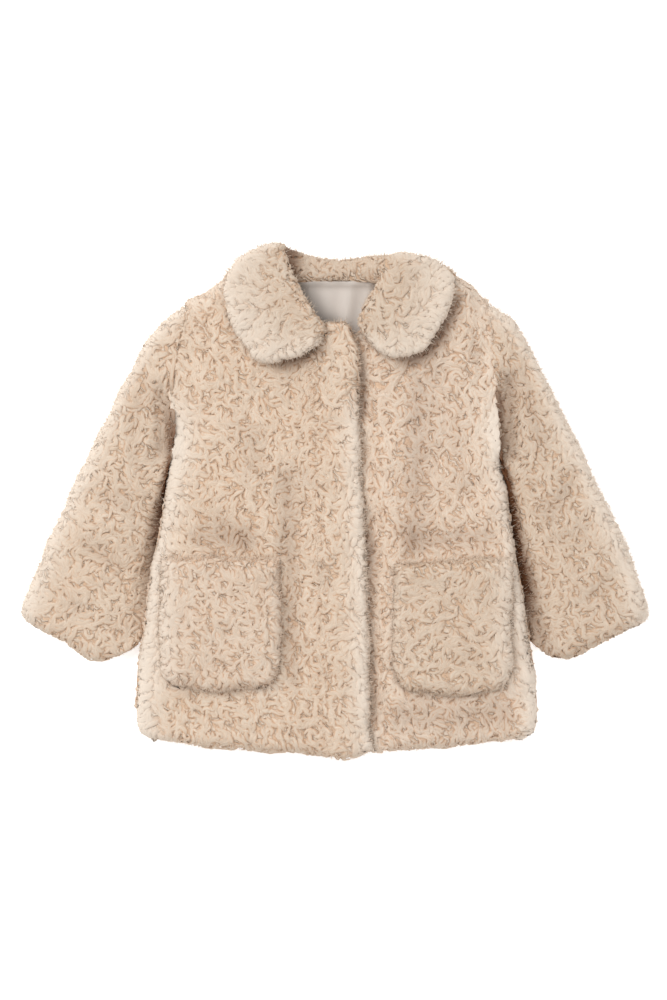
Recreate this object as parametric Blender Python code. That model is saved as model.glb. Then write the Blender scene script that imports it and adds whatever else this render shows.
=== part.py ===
"""A small child's curly faux fur coat, closed in front and laid flat on its back.

+X runs to the wearer's left, +Y from the hem to the neck and +Z up, out of the fronts.  The tables
are in millimetres: x from the middle of the coat, height from the lowest point of the hem, and the
level of a surface from the ground that the coat lies on.  Every wall is the cloth with its pile, as
thick as the pile stands.  The finished coat is moved so that the origin is at the middle of its box,
on the ground.
"""
import math
from collections import namedtuple

import bmesh
import bpy
import numpy as np

MM = 0.001

# ---------------------------------------------------------------- driving sizes, in millimetres

SEAM = 0.3            # clearance between neighbouring pieces
WALL = 12.7           # fur cloth lying under its own weight
LAYER = WALL + SEAM   # from one layer of the body to the next
RIM = 11.0            # how far in a fold or a hem is rounded
CUT_RIM = 1.2         # the same at an armhole, whose wall stands upright against the sleeve
NECK_RIM = 5.0        # the same at the neckline, under the collar
ARMPIT = 267.0        # height where the armhole ends and the side seam starts
SHOULDER = 400.0      # height of the shoulder tips
HEM_LEVEL = 16.0      # height of the hem at the side seams

FALL_WALL = 6.8       # the collar's fall behind the neck, pressed under the back
FALL_LIFT = 7.3       # how far that fall raises the body at the neck
LIFT_MIDDLE = 3.0     # x of the middle of the raised part
LIFT_HALF_WIDTH = 104.0
LIFT_RAMP_X = 26.0
LIFT_TOP = 355.0
LIFT_RAMP_Y = 50.0
THIN_BACK = 11.1      # the back where the lining lies on it
THIN_FROM = 290.0
THIN_TO = 308.0

OVERLAP = 37.0        # width of the placket, where the right front laps over the left
PRESSED = 7.5         # the left front's wall under the placket
OVERLAP_RAMP = 11.0   # width of the step beside the placket
PLACKET_WALL = 11.5
PLACKET_RIM = 9.0     # how far in the free edge is rounded
HIDDEN_RIM = 1.5      # the same at the left front's edge under it
SLACK = 0.8           # how much more room the two fronts have where the body rises to the neck

POCKET_WALL = 10.5
POCKET_RIM = 8.0
POCKET_CORNER = 25.0
POCKET_MOUTH = 1.6    # how far the open top edge gapes

WING_WALL = 12.0
WING_GAP = 0.5        # from the fronts to the wings that rest on them
REACH = 6.0           # how far around a point a piece looks for what it rests on
STAND_LEVEL = 14.2    # the collar's neck seam, above the raised back
STAND_WIDTH = 8.0

LINING_WALL = 1.1
LINING_LEVEL = 11.5   # above the raised back
LINING_LOW = 357.0
LINING_HIGH = 413.6
LINING_LEFT = -46.0
LINING_WIDTH = 95.0
LINING_TAPER = 2.0    # how much narrower it is on each side at its lower end

SLEEVE_LEVEL = 26.0   # two walls, one on the other
SLEEVE_INNER = 14.0   # where the sleeve slips under the body's side
SLEEVE_SLIT = 1.2     # the hollow left between its two walls
HOLLOW_OUTER = 0.09   # where that hollow starts and ends, as shares of the sleeve's width
HOLLOW_INNER = 0.93
RIPPLE = 1.2          # height of the uneven places along a sleeve
CUFF_ROUND = 11.0


def table(columns, *rows):
    """A short table with named columns, each an array."""
    fields = namedtuple("Table", columns)
    return fields(*np.array(rows, dtype=float).T)


# The body's two edges from hem to shoulder.  Up to the armpit they are side folds, above it armholes.
SIDES = table(
    "height right left",
    (16.0, -158.8, 163.1),
    (18.0, -163.5, 168.0),
    (22.0, -168.0, 172.8),
    (28.0, -170.5, 174.8),
    (45.0, -171.8, 175.3),
    (68.0, -171.0, 173.6),
    (90.0, -169.4, 171.7),
    (116.0, -168.3, 169.6),
    (144.0, -164.9, 165.7),
    (172.0, -159.6, 160.4),
    (190.0, -156.1, 157.4),
    (207.0, -152.7, 154.8),
    (231.0, -149.2, 152.7),
    (253.0, -144.9, 147.1),
    (267.0, -140.5, 143.0),
    (289.0, -139.8, 141.8),
    (303.0, -141.6, 141.8),
    (318.0, -143.2, 141.7),
    (339.0, -142.0, 139.8),
    (353.0, -138.4, 137.8),
    (368.0, -134.4, 136.0),
    (389.0, -128.6, 132.8),
    (397.0, -126.5, 131.6),
    (400.0, -125.7, 131.2),
)

HEM = table(
    "x height",
    (-158.8, 16.0), (-142.0, 13.4), (-117.0, 10.4), (-82.0, 7.8), (-47.0, 5.2), (-28.0, 3.0),
    (-6.0, 1.0), (10.0, 0.0), (22.0, 1.7), (33.0, 6.0), (40.0, 12.0),
)
HEM_LEFT = table(
    "x height",
    (-12.0, 9.0), (22.0, 6.5), (40.0, 5.4), (57.0, 7.8), (92.0, 9.6), (127.0, 12.6), (163.1, 16.0),
)
HEM_BACK = table(
    "x height",
    (-158.8, 16.0), (-117.0, 12.0), (-47.0, 8.0), (5.0, 6.0), (57.0, 8.6), (127.0, 13.2), (163.1, 16.0),
)

# Top edges: shoulder tip, high point at the neck, neckline.
TOP_BACK = table(
    "x height",
    (-125.7, 400.0), (-109.0, 407.5), (-96.0, 415.0), (-81.0, 424.0), (-63.0, 432.0), (-57.5, 429.0),
    (-52.0, 413.3), (55.0, 413.3), (60.0, 426.0), (66.0, 429.5), (74.0, 428.5), (92.0, 423.0),
    (108.0, 417.0), (120.0, 409.6), (131.2, 400.0),
)
TOP_RIGHT = table(
    "x height",
    (-125.7, 400.0), (-109.0, 407.5), (-96.0, 415.0), (-81.0, 424.0), (-63.0, 432.0), (-57.0, 429.0),
    (-50.0, 417.0), (-41.0, 400.5), (-30.0, 386.0), (-16.0, 380.5), (-4.0, 382.8), (7.0, 383.0),
    (12.5, 379.5), (16.5, 373.0), (21.0, 363.0),
)
TOP_LEFT = table(
    "x height",
    (-15.0, 366.0), (0.0, 369.0), (14.0, 371.0), (25.0, 378.0), (38.0, 394.0), (49.0, 410.0),
    (57.0, 422.0), (62.0, 427.5), (66.0, 429.5), (74.0, 428.5), (92.0, 423.0), (108.0, 417.0),
    (120.0, 409.6), (131.2, 400.0),
)

# The right front's free edge, down the middle of the coat.
FREE_EDGE = table(
    "height x",
    (16.0, 36.5), (28.0, 36.0), (45.0, 33.5), (68.0, 32.6), (132.0, 32.6), (172.0, 31.5), (207.0, 29.6),
    (231.0, 29.0), (267.0, 26.8), (318.0, 24.0), (368.0, 23.5), (400.0, 21.0),
)

# Where each panel's neckline starts and ends, between the shoulders' high points.
NECK_BACK = (-58.0, 60.0)
NECK_RIGHT = (-57.0, 40.0)
NECK_LEFT = (-40.0, 62.0)

# Where the columns of each panel stand at shoulder level, from side to side.
BACK_STATIONS = (-110, -96, -81, -67, -58, -52, -38, -22, -6, 10, 26, 41, 55, 60.5, 68, 81, 96, 111)
RIGHT_STATIONS = (-111, -97, -83, -71, -62, -55.5, -48, -41, -33, -26)
LEFT_STATIONS = (42, 51, 59, 66, 77, 90, 103, 115)
# Where the stations of a front end beside the placket.
RIGHT_STATIONS_END = -18.0
LEFT_STATIONS_START = 36.0
# Columns in the two layers of the placket, from its free edge and from the hidden edge under it.
PLACKET_COLUMNS = (OVERLAP + OVERLAP_RAMP, OVERLAP + 1.0, 24.0, PLACKET_RIM, 4.5, 1.3, 0.0)
HIDDEN_COLUMNS = (0.0, HIDDEN_RIM, 19.0, OVERLAP + 1.0, OVERLAP + 6.0, OVERLAP + 15.0)

# Soft folds in the fronts: a trough from one end to the other, or a ridge where the depth is negative.
FOLDS = table(
    "x0 height0 x1 height1 width depth",
    (-41.0, 245.0, -40.0, 70.0, 10.0, 3.2),
    (-140.0, 196.0, -78.0, 190.0, 9.0, 2.6),
    (70.0, 190.0, 150.0, 194.0, 9.0, 2.6),
    (-8.0, 166.0, -6.0, 150.0, 8.0, 1.6),
    (86.0, 340.0, 70.0, 235.0, 16.0, 1.6),
    (-92.0, 330.0, -80.0, 240.0, 18.0, -1.4),
)

# Rings of the sleeves from armhole to cuff.  The inner end follows the body's side, side_gap away.
SLEEVE_RINGS = table(
    "right_x left_x outer_height inner_height side_gap slope bow",
    (-125.7, 131.2, 400.0, 267.0, 0.0, 0.0, 0.0),
    (-147.0, 153.5, 385.5, 253.0, 0.0, 0.4, 0.0),
    (-169.2, 172.5, 356.0, 231.0, 0.0, 0.8, 0.0),
    (-189.8, 192.0, 318.0, 207.0, 0.0, 1.0, 1.0),
    (-203.6, 206.2, 290.0, 190.0, 0.0, 1.0, 1.0),
    (-217.0, 219.5, 262.0, 172.0, 0.0, 1.0, 2.0),
    (-238.2, 240.0, 220.0, 144.0, 0.0, 1.0, 2.0),
    (-258.2, 261.0, 174.0, 117.0, 0.0, 0.8, 3.0),
    (-272.6, 273.0, 133.0, 97.0, 7.0, 0.6, 5.0),
)
# Heights where the sleeve's columns start on the armhole, from the shoulder tip to the armpit.
ARMHOLE_STATIONS = np.array(
    (400.0, 397.0, 389.0, 368.0, 353.0, 339.0, 318.0, 303.0, 289.0, 276.0, 269.5, 267.0))
CUFF_ANGLES = (28.0, 52.0, 74.0)

# Sections of the collar's wings, from the front tip to the shoulder.
WING_RIGHT = table(
    "outer_x outer_y inner_x inner_y swell stand",
    (-13.0, 361.5, -7.0, 373.0, 0.35, 0),
    (-16.5, 357.5, -6.5, 378.0, 0.8, 0),
    (-26.0, 352.0, -11.0, 384.0, 1.0, 0),
    (-38.0, 347.5, -16.5, 390.0, 1.0, 0),
    (-54.0, 343.7, -21.0, 396.5, 1.0, 1),
    (-72.0, 347.5, -25.7, 404.0, 1.0, 1),
    (-85.0, 364.0, -29.5, 411.5, 1.0, 1),
    (-93.0, 385.0, -32.5, 418.0, 1.0, 1),
    (-98.5, 404.0, -35.5, 425.0, 1.0, 1),
    (-95.8, 420.0, -37.5, 430.0, 1.0, 1),
    (-86.0, 433.5, -39.0, 435.0, 1.0, 1),
    (-71.0, 444.0, -40.0, 439.5, 1.0, 1),
    (-55.0, 449.3, -41.0, 443.0, 0.92, 1),
)
WING_LEFT = table(
    "outer_x outer_y inner_x inner_y swell stand",
    (28.0, 366.0, 21.5, 376.0, 0.35, 0),
    (33.0, 360.0, 19.0, 380.0, 0.8, 0),
    (42.0, 352.5, 19.5, 385.0, 1.0, 0),
    (54.0, 347.3, 21.5, 390.6, 1.0, 0),
    (68.0, 348.5, 25.0, 396.5, 1.0, 1),
    (82.0, 356.5, 28.5, 402.5, 1.0, 1),
    (92.0, 371.0, 32.0, 408.0, 1.0, 1),
    (99.0, 389.0, 35.0, 413.0, 1.0, 1),
    (105.5, 406.0, 36.5, 418.0, 1.0, 1),
    (105.5, 420.0, 36.5, 422.0, 1.0, 1),
    (96.5, 431.0, 36.0, 426.0, 1.0, 1),
    (81.0, 438.3, 35.5, 430.0, 1.0, 1),
    (62.0, 440.0, 35.0, 434.0, 0.92, 1),
)
# Sections of the collar behind the neck: where it rolls, where it is sewn on, where its fall ends.
YOKE = table(
    "x roll seam fall crown",
    (-94.5, 420.5, 418.0, 405.0, 33.0),
    (-89.0, 429.5, 422.5, 393.0, 39.0),
    (-81.0, 438.0, 429.0, 384.0, 40.0),
    (-72.0, 443.8, 435.5, 379.0, 40.0),
    (-61.0, 447.8, 439.0, 376.5, 40.0),
    (-50.0, 449.5, 440.5, 375.0, 39.0),
    (-42.0, 447.5, 424.0, 374.5, 36.0),
    (-36.0, 444.8, 415.0, 374.0, 32.5),
    (-28.0, 441.8, 415.0, 374.0, 30.0),
    (-13.0, 437.8, 415.0, 373.0, 29.0),
    (5.0, 436.6, 415.0, 373.0, 28.5),
    (20.0, 438.0, 415.0, 373.0, 29.5),
    (30.0, 439.6, 415.0, 373.5, 32.5),
    (38.0, 440.2, 415.0, 374.0, 37.0),
    (50.0, 440.2, 421.0, 375.0, 39.0),
    (58.0, 440.0, 431.6, 376.0, 40.0),
    (70.0, 439.6, 432.6, 377.5, 40.0),
    (80.0, 438.2, 430.6, 381.0, 40.0),
    (92.0, 433.2, 426.6, 388.0, 40.0),
    (100.0, 427.0, 423.0, 397.0, 38.0),
    (105.0, 421.5, 419.2, 406.0, 33.0),
)

# Patch pockets: sides, bottom, and the two ends of the open top edge.
POCKETS = {
    "pocket_right": (-154.0, -45.0, 62.0, 178.0, 177.0),
    "pocket_left": (49.5, 157.0, 59.0, 172.5, 177.5),
}

FUR_TONES = {
    "back": (0.60, 0.47, 0.34),
    "front_right": (0.64, 0.50, 0.37),
    "front_left": (0.62, 0.48, 0.35),
    "sleeve_right": (0.70, 0.58, 0.45),
    "sleeve_left": (0.62, 0.48, 0.36),
    "collar": (0.68, 0.56, 0.43),
    "pocket_right": (0.66, 0.53, 0.40),
    "pocket_left": (0.64, 0.51, 0.38),
}
LINING_TONE = (0.60, 0.54, 0.48)


# ---------------------------------------------------------------- levels and outlines

def refined(sections, parts):
    """The same sections with parts - 1 more between each two, on cubic curves through them all."""
    given = np.array(sections).T
    slope = np.gradient(given, axis=0)
    t = (np.arange(parts) / parts)[:, None, None]
    a, b, da, db = given[:-1], given[1:], slope[:-1], slope[1:]
    curve = a + da * t + (3.0 * (b - a) - 2.0 * da - db) * t ** 2 + (2.0 * (a - b) + da + db) * t ** 3
    rows = np.concatenate((curve.swapaxes(0, 1).reshape(-1, given.shape[1]), given[-1:]))
    return type(sections)(*rows.T)


def ease(start, width, value):
    """A smooth step from 0 at start to 1 at start + width."""
    t = np.clip((value - start) / width, 0.0, 1.0)
    return t * t * (3.0 - 2.0 * t)


def rounded(distance, radius):
    """Share of the full thickness at a distance in from an edge: a quarter of an ellipse."""
    t = 1.0 - np.clip(distance / radius, 0.0, 1.0)
    return np.sqrt(1.0 - t * t)


def lift(x, y):
    """How far the collar's fall raises the body, near the neck only."""
    across = 1.0 - ease(LIFT_HALF_WIDTH, LIFT_RAMP_X, np.abs(x - LIFT_MIDDLE))
    return FALL_LIFT * across * ease(LIFT_TOP - LIFT_RAMP_Y, LIFT_RAMP_Y, y)


def folds(x, y):
    """Depth of the soft folds: each fades with the distance from its line."""
    depth = np.zeros_like(x)
    for x0, y0, x1, y1, width, drop in zip(*FOLDS):
        run = np.array((x1 - x0, y1 - y0))
        along = np.clip(((x - x0) * run[0] + (y - y0) * run[1]) / run.dot(run), 0.0, 1.0)
        away = np.hypot(x - x0 - along * run[0], y - y0 - along * run[1])
        depth += drop * np.exp(-(away / width) ** 2)
    return depth


def side(column, height):
    """x of the body's edge at a height."""
    return np.interp(height, SIDES.height, column)


def free_edge(height):
    """x of the right front's free edge at a height."""
    return np.interp(height, FREE_EDGE.height, FREE_EDGE.x)


def side_rim(height):
    """How far in the body's edge is rounded: a soft fold below the armpit, a cut wall above it."""
    return np.where(height < ARMPIT, RIM, CUT_RIM)


def top_rim(x, neck):
    """How far in the top edge is rounded: less along the neckline than along the shoulders."""
    return np.where((x > neck[0]) & (x < neck[1]), NECK_RIM, RIM)


RIM_STEPS = (0.0, 0.14, 0.5, 1.0)


def body_grid(left, right, low, high, columns):
    """Points of a body panel: rows at the heights of SIDES, stretched between hem and top edge.

    left and right give, for each row, the x of the two edges; columns is a function that gives the
    x of every column of a row; low and high give the hem and the top edge at an x.
    """
    height = SIDES.height[:, None]
    x = np.array([columns(a, b, h) for a, b, h in zip(left, right, SIDES.height)])
    share = (height - HEM_LEVEL) / (SHOULDER - HEM_LEVEL)
    bottom = low(x)
    return x, bottom + (high(x) - bottom) * share


def side_columns(edge, inward, height):
    """The four columns that round a body's side, from its edge inwards."""
    return edge + inward * side_rim(height) * np.array(RIM_STEPS)


def between(stations, start, stop, edges):
    """Columns at the stations' shares of the width between two edges at shoulder level."""
    share = (np.array(stations, dtype=float) - edges[0]) / (edges[1] - edges[0])
    return start + (stop - start) * share


def edge_share(x, y, low, high, rim_top):
    """Thickness share near the hem and the top edge."""
    return rounded(y - low(x), RIM) * rounded(high(x) - y, rim_top)


# ---------------------------------------------------------------- meshes

def make_object(name, vertices, faces, tone, roughness=0.9):
    """A named object with its own material, from vertices in millimetres."""
    mesh = bpy.data.meshes.new(name)
    mesh.from_pydata((np.asarray(vertices) * MM).tolist(), [], faces)
    mesh.validate()
    piece = bpy.data.objects.new(name, mesh)
    material = bpy.data.materials.new(name)
    material.use_nodes = True
    shader = material.node_tree.nodes["Principled BSDF"]
    shader.inputs["Base Color"].default_value = (*tone, 1.0)
    shader.inputs["Roughness"].default_value = roughness
    shader.inputs["Metallic"].default_value = 0.0
    mesh.materials.append(material)
    mesh.shade_smooth()
    coat.objects.link(piece)
    return piece


def face_outwards(piece):
    """Turns every face of a closed mesh outwards."""
    shape = bmesh.new()
    shape.from_mesh(piece.data)
    bmesh.ops.recalc_face_normals(shape, faces=shape.faces)
    shape.to_mesh(piece.data)
    shape.free()


def grid_faces(index):
    """Quads of a grid of vertex numbers."""
    corners = (index[:-1, :-1], index[:-1, 1:], index[1:, 1:], index[1:, :-1])
    return np.stack([c.ravel() for c in corners], axis=1).tolist()


def sheet(name, x, y, top, bottom, tone):
    """A closed sheet: an upper and a lower grid that share their border."""
    rows, cols = x.shape
    upper = np.arange(rows * cols).reshape(rows, cols)
    lower = upper.copy()
    inside = (rows - 2) * (cols - 2)
    lower[1:-1, 1:-1] = rows * cols + np.arange(inside).reshape(rows - 2, cols - 2)
    crown = np.stack((x, y, top), axis=-1).reshape(-1, 3)
    floor = np.stack((x, y, bottom), axis=-1)[1:-1, 1:-1].reshape(-1, 3)
    faces = grid_faces(upper) + grid_faces(lower[:, ::-1])
    return make_object(name, np.vstack((crown, floor)), faces, tone)


def loft(name, rings, tone):
    """A closed solid through equal rings, with a flat cap on the first and the last."""
    count, around = rings.shape[:2]
    index = np.arange(count * around).reshape(count, around)
    wrapped = np.hstack((index, index[:, :1]))
    faces = grid_faces(wrapped) + [index[0].tolist(), index[-1, ::-1].tolist()]
    piece = make_object(name, rings.reshape(-1, 3), faces, tone)
    face_outwards(piece)
    return piece


# ---------------------------------------------------------------- body

def make_back():
    """The back: flat on the ground, raised at the neck by the collar's fall."""
    def columns(left, right, height):
        rim_left = side_columns(left, 1.0, height)
        rim_right = side_columns(right, -1.0, height)[::-1]
        inner = between(BACK_STATIONS, rim_left[-1], rim_right[0], (SIDES.right[-1], SIDES.left[-1]))
        return np.concatenate((rim_left, inner, rim_right))

    def low(x):
        return np.interp(x, HEM_BACK.x, HEM_BACK.height)

    def high(x):
        return np.interp(x, TOP_BACK.x, TOP_BACK.height)

    x, y = body_grid(SIDES.right, SIDES.left, low, high, columns)
    heights = SIDES.height[:, None]
    share = rounded(x - x[:, :1], side_rim(heights)) * rounded(x[:, -1:] - x, side_rim(heights))
    share = share * edge_share(x, y, low, high, top_rim(x, NECK_BACK))
    ground = lift(x, y)
    top = ground + WALL - (WALL - THIN_BACK) * ease(THIN_FROM, THIN_TO - THIN_FROM, y)
    return sheet("back", x, y, top, top - (top - ground) * share, FUR_TONES["back"])


def front_level(x, y):
    """Underside of both fronts, one layer above the raised ground."""
    return lift(x, y) + LAYER


def right_front_surface(x, y, to_edge):
    """Underside and top of the right front, to_edge away from its free edge."""
    step = 1.0 - ease(OVERLAP + 1.0, OVERLAP_RAMP - 1.0, to_edge)
    level = front_level(x, y)
    under = PRESSED + SEAM + SLACK * ease(THIN_FROM, THIN_TO - THIN_FROM, y)
    return level + under * step, level + LAYER + (under + PLACKET_WALL - LAYER) * step - folds(x, y)


def left_front_surface(x, y, from_edge):
    """Top of the left front, from_edge away from its edge under the placket."""
    rise = ease(OVERLAP + 1.0, 14.0, from_edge)
    return front_level(x, y) + PRESSED + (LAYER - PRESSED - folds(x, y)) * rise


def make_front_right():
    """The wearer's right front, with the placket that laps over the left front."""
    def columns(left, right, height):
        rim_left = side_columns(left, 1.0, height)
        overlap = right - np.array(PLACKET_COLUMNS)
        inner = between(RIGHT_STATIONS, rim_left[-1], overlap[0], (SIDES.right[-1], RIGHT_STATIONS_END))
        return np.concatenate((rim_left, inner, overlap))

    def low(x):
        return np.interp(x, HEM.x, HEM.height)

    def high(x):
        return np.interp(x, TOP_RIGHT.x, TOP_RIGHT.height)

    x, y = body_grid(SIDES.right, free_edge(SIDES.height), low, high, columns)
    to_edge = x[:, -1:] - x
    share = rounded(x - x[:, :1], side_rim(SIDES.height[:, None])) * rounded(to_edge, PLACKET_RIM)
    share = share * edge_share(x, y, low, high, top_rim(x, NECK_RIGHT))
    under, top = right_front_surface(x, y, to_edge)
    return sheet("front_right", x, y, under + (top - under) * share, under, FUR_TONES["front_right"])


def make_front_left():
    """The wearer's left front, pressed thinner where it passes under the placket."""
    def columns(left, right, height):
        rim_right = side_columns(right, -1.0, height)[::-1]
        hidden = left + np.array(HIDDEN_COLUMNS)
        inner = between(LEFT_STATIONS, hidden[-1], rim_right[0], (LEFT_STATIONS_START, SIDES.left[-1]))
        return np.concatenate((hidden, inner, rim_right))

    def low(x):
        return np.interp(x, HEM_LEFT.x, HEM_LEFT.height)

    def high(x):
        return np.interp(x, TOP_LEFT.x, TOP_LEFT.height)

    x, y = body_grid(free_edge(SIDES.height) - OVERLAP, SIDES.left, low, high, columns)
    from_edge = x - x[:, :1]
    share = rounded(from_edge, HIDDEN_RIM) * rounded(x[:, -1:] - x, side_rim(SIDES.height[:, None]))
    share = share * edge_share(x, y, low, high, top_rim(x, NECK_LEFT))
    under = front_level(x, y)
    top = left_front_surface(x, y, from_edge)
    return sheet("front_left", x, y, under + (top - under) * share, under, FUR_TONES["front_left"])


# ---------------------------------------------------------------- sleeves

def sleeve_plan(outer_x, inner_x, inner_heights):
    """Plan points of a sleeve: rings from armhole to cuff, columns from its outer to its inner edge."""
    share = (ARMHOLE_STATIONS[0] - ARMHOLE_STATIONS) / (ARMHOLE_STATIONS[0] - ARMHOLE_STATIONS[-1])
    outward = math.copysign(1.0, outer_x[0])
    inner = inner_x + outward * (SEAM + SLEEVE_RINGS.side_gap)
    x = outer_x[:, None] + (inner - outer_x)[:, None] * share
    y = SLEEVE_RINGS.outer_height[:, None] + (inner_heights - SLEEVE_RINGS.outer_height)[:, None] * share
    return x, y, share, outward


def make_sleeve(name, outer_x, edge):
    """One sleeve: a tube pressed flat, open at the armhole and at the cuff."""
    x, y, share, outward = sleeve_plan(outer_x, side(edge, SLEEVE_RINGS.inner_height),
                                       SLEEVE_RINGS.inner_height)
    # The first ring follows the armhole, and the rings after it lose that curve one by one.
    armhole = side(edge, ARMHOLE_STATIONS) + outward * SEAM
    curve = armhole - x[0]
    x += np.array((1.0, 0.6, 0.25) + (0.0,) * (len(x) - 3))[:, None] * curve

    run = np.stack((x[:, -1] - x[:, 0], y[:, -1] - y[:, 0]), axis=1)
    width = np.hypot(run[:, 0], run[:, 1])
    down = np.stack((-run[:, 1], run[:, 0]), axis=1) / width[:, None] * outward
    bow = SLEEVE_RINGS.bow[:, None] * np.sin(math.pi * share ** 1.5)
    x += bow * down[:, :1]
    y += bow * down[:, 1:]
    slope = SLEEVE_RINGS.slope
    flat = np.ones(len(x))

    # The cuff's edge is turned: the last ring goes on, narrower and thinner.
    across = run[-1] / width[-1]
    wrist = len(x) - 1
    for angle in np.radians(CUFF_ANGLES):
        reach = CUFF_ROUND * math.sin(angle)
        inset = 0.8 * CUFF_ROUND * (1.0 - math.cos(angle)) * (1.0 - 2.0 * share)
        x = np.vstack((x, x[wrist] + down[wrist, 0] * reach + across[0] * inset))
        y = np.vstack((y, y[wrist] + down[wrist, 1] * reach + across[1] * inset))
        slope = np.append(slope, slope[wrist])
        flat = np.append(flat, math.cos(angle))
        width = np.append(width, width[wrist])

    level = SLEEVE_LEVEL - (SLEEVE_LEVEL - SLEEVE_INNER) * ease(0.35, 0.65, share) * slope[:, None]
    ring = np.arange(len(x))[:, None]
    ripple = np.sin(2.3 * share + 0.9 * ring) * np.sin(math.pi * share)
    level = level + RIPPLE * ripple * (ring > 0)
    middle = level / 2.0
    full = rounded(share * width[:, None], RIM) * rounded((1.0 - share) * width[:, None], 0.7 * RIM)
    full = full * flat[:, None]
    skin = (x, y, middle + middle * full, middle - middle * full)

    # The hollow between the two walls: a narrow slit inside the outline.
    inset = HOLLOW_OUTER + (HOLLOW_INNER - HOLLOW_OUTER) * share
    hollow_x, hollow_y, mid = (np.array([np.interp(inset, share, row) for row in rows])
                               for rows in (x, y, middle))
    slit = 0.5 * SLEEVE_SLIT * np.minimum(1.0, np.sin(math.pi * share) * 4.0)
    return tube(name, skin, (hollow_x, hollow_y, mid + slit, mid - slit), FUR_TONES[name])


def ring_points(x, y, top, bottom):
    """Closed rings: over the top from the outer to the inner edge and back underneath."""
    over = np.stack((x, y, top), axis=-1)
    under = np.stack((x, y, bottom), axis=-1)[:, -2:0:-1]
    return np.concatenate((over, under), axis=1)


def tube(name, skin, hollow, tone):
    """A tube through rings, with a second set of rings for its hollow and open ends."""
    outside = ring_points(*skin)
    inside = ring_points(*hollow)
    count, around = outside.shape[:2]
    index = np.arange(count * around).reshape(count, around)
    outer = np.hstack((index, index[:, :1]))
    inner = outer + count * around
    ends = (np.stack((outer[0], inner[0])), np.stack((inner[-1], outer[-1])))
    faces = grid_faces(outer) + grid_faces(inner[::-1]) + grid_faces(ends[0]) + grid_faces(ends[1])
    piece = make_object(name, np.vstack((outside.reshape(-1, 3), inside.reshape(-1, 3))), faces, tone)
    face_outwards(piece)
    return piece


# ---------------------------------------------------------------- collar

def front_top(name, x, y):
    """Top of the front on the right or the left side, carried on past its edges."""
    if name.endswith("right"):
        return right_front_surface(x, y, free_edge(y) - x)[1]
    return left_front_surface(x, y, np.full_like(x, 2.0 * OVERLAP))


def resting(name, x, y):
    """The highest level of a front within REACH of each point, which a piece on it has to clear."""
    around = ((0.0, 0.0), (REACH, 0.0), (-REACH, 0.0), (0.0, REACH), (0.0, -REACH))
    return np.max([front_top(name, x + dx, y + dy) for dx, dy in around], axis=0)


def wing_rings(name, sections):
    """Rings of a wing: over its top from the outer edge, down its stand, back along its underside."""
    rings = []
    for outer_x, outer_y, inner_x, inner_y, swell, stand in zip(*refined(sections, 2)):
        width = math.hypot(inner_x - outer_x, inner_y - outer_y)
        edge = min(7.0, 0.3 * width)
        foot = min(STAND_WIDTH, 0.3 * width)
        reach = np.array((0.0, 0.3 * edge, edge, width / 3.0, 2.0 * width / 3.0, width - edge,
                          width - 0.3 * edge, width, width - 0.1 * foot, width - 0.35 * foot,
                          width - foot, width - 1.12 * foot, 0.62 * width, width / 3.0, edge,
                          0.3 * edge))
        x = outer_x + (inner_x - outer_x) * reach / width
        y = outer_y + (inner_y - outer_y) * reach / width
        rest = resting(name, x, y) + WING_GAP
        share = np.array((0.45, 0.86, 1.0, 1.05, 1.05, 1.0, 0.86, 0.45, 0.15, 0.04, 0.0, 0.0, 0.0, 0.0,
                          0.0, 0.12))
        z = rest + WING_WALL * swell * share
        seam = lift(x, y) + STAND_LEVEL
        down = np.clip(stand, 0.0, 1.0)
        z[8:11] += down * (seam[8:11] + np.array((2.5, 0.3, 0.0)) - z[8:11])
        rings.append(np.stack((x, y, z), axis=-1))
    return np.array(rings)


def yoke_rings():
    """Rings of the collar behind the neck: up the seam, over the roll, under the back, to the fall."""
    rings = []
    for x, roll, seam, fall, crown in zip(*YOKE):
        wide = roll - seam
        turn = min(9.0, 0.45 * wide)
        profile = np.array((
            (seam, FALL_WALL), (seam, crown - 0.4 * turn), (seam + 0.35 * turn, crown - 0.1 * turn),
            (roll - turn, crown), (roll - 0.3 * turn, 0.87 * crown), (roll, 0.55 * crown),
            (roll - 0.15 * turn, 0.22 * crown), (roll - 0.8 * turn, 0.0), (fall + 5.0, 0.0),
            (fall, 0.4 * FALL_WALL), (fall + 2.0, 0.85 * FALL_WALL), (fall + 8.0, FALL_WALL),
        ))
        rings.append(np.column_stack((np.full(len(profile), x), profile)))
    return np.array(rings)


def make_collar():
    """The collar: both wings joined to the part behind the neck."""
    collar = loft("collar", yoke_rings(), FUR_TONES["collar"])
    for name, sections in (("wing_right", WING_RIGHT), ("wing_left", WING_LEFT)):
        wing = loft(name, wing_rings(name, sections), FUR_TONES["collar"])
        coat.objects.unlink(wing)
        cutters.objects.link(wing)
        wing.hide_render = True
        wing.display_type = "WIRE"
        join = collar.modifiers.new(name, "BOOLEAN")
        join.operation = "UNION"
        join.object = wing
    return collar


# ---------------------------------------------------------------- pockets and lining

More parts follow.
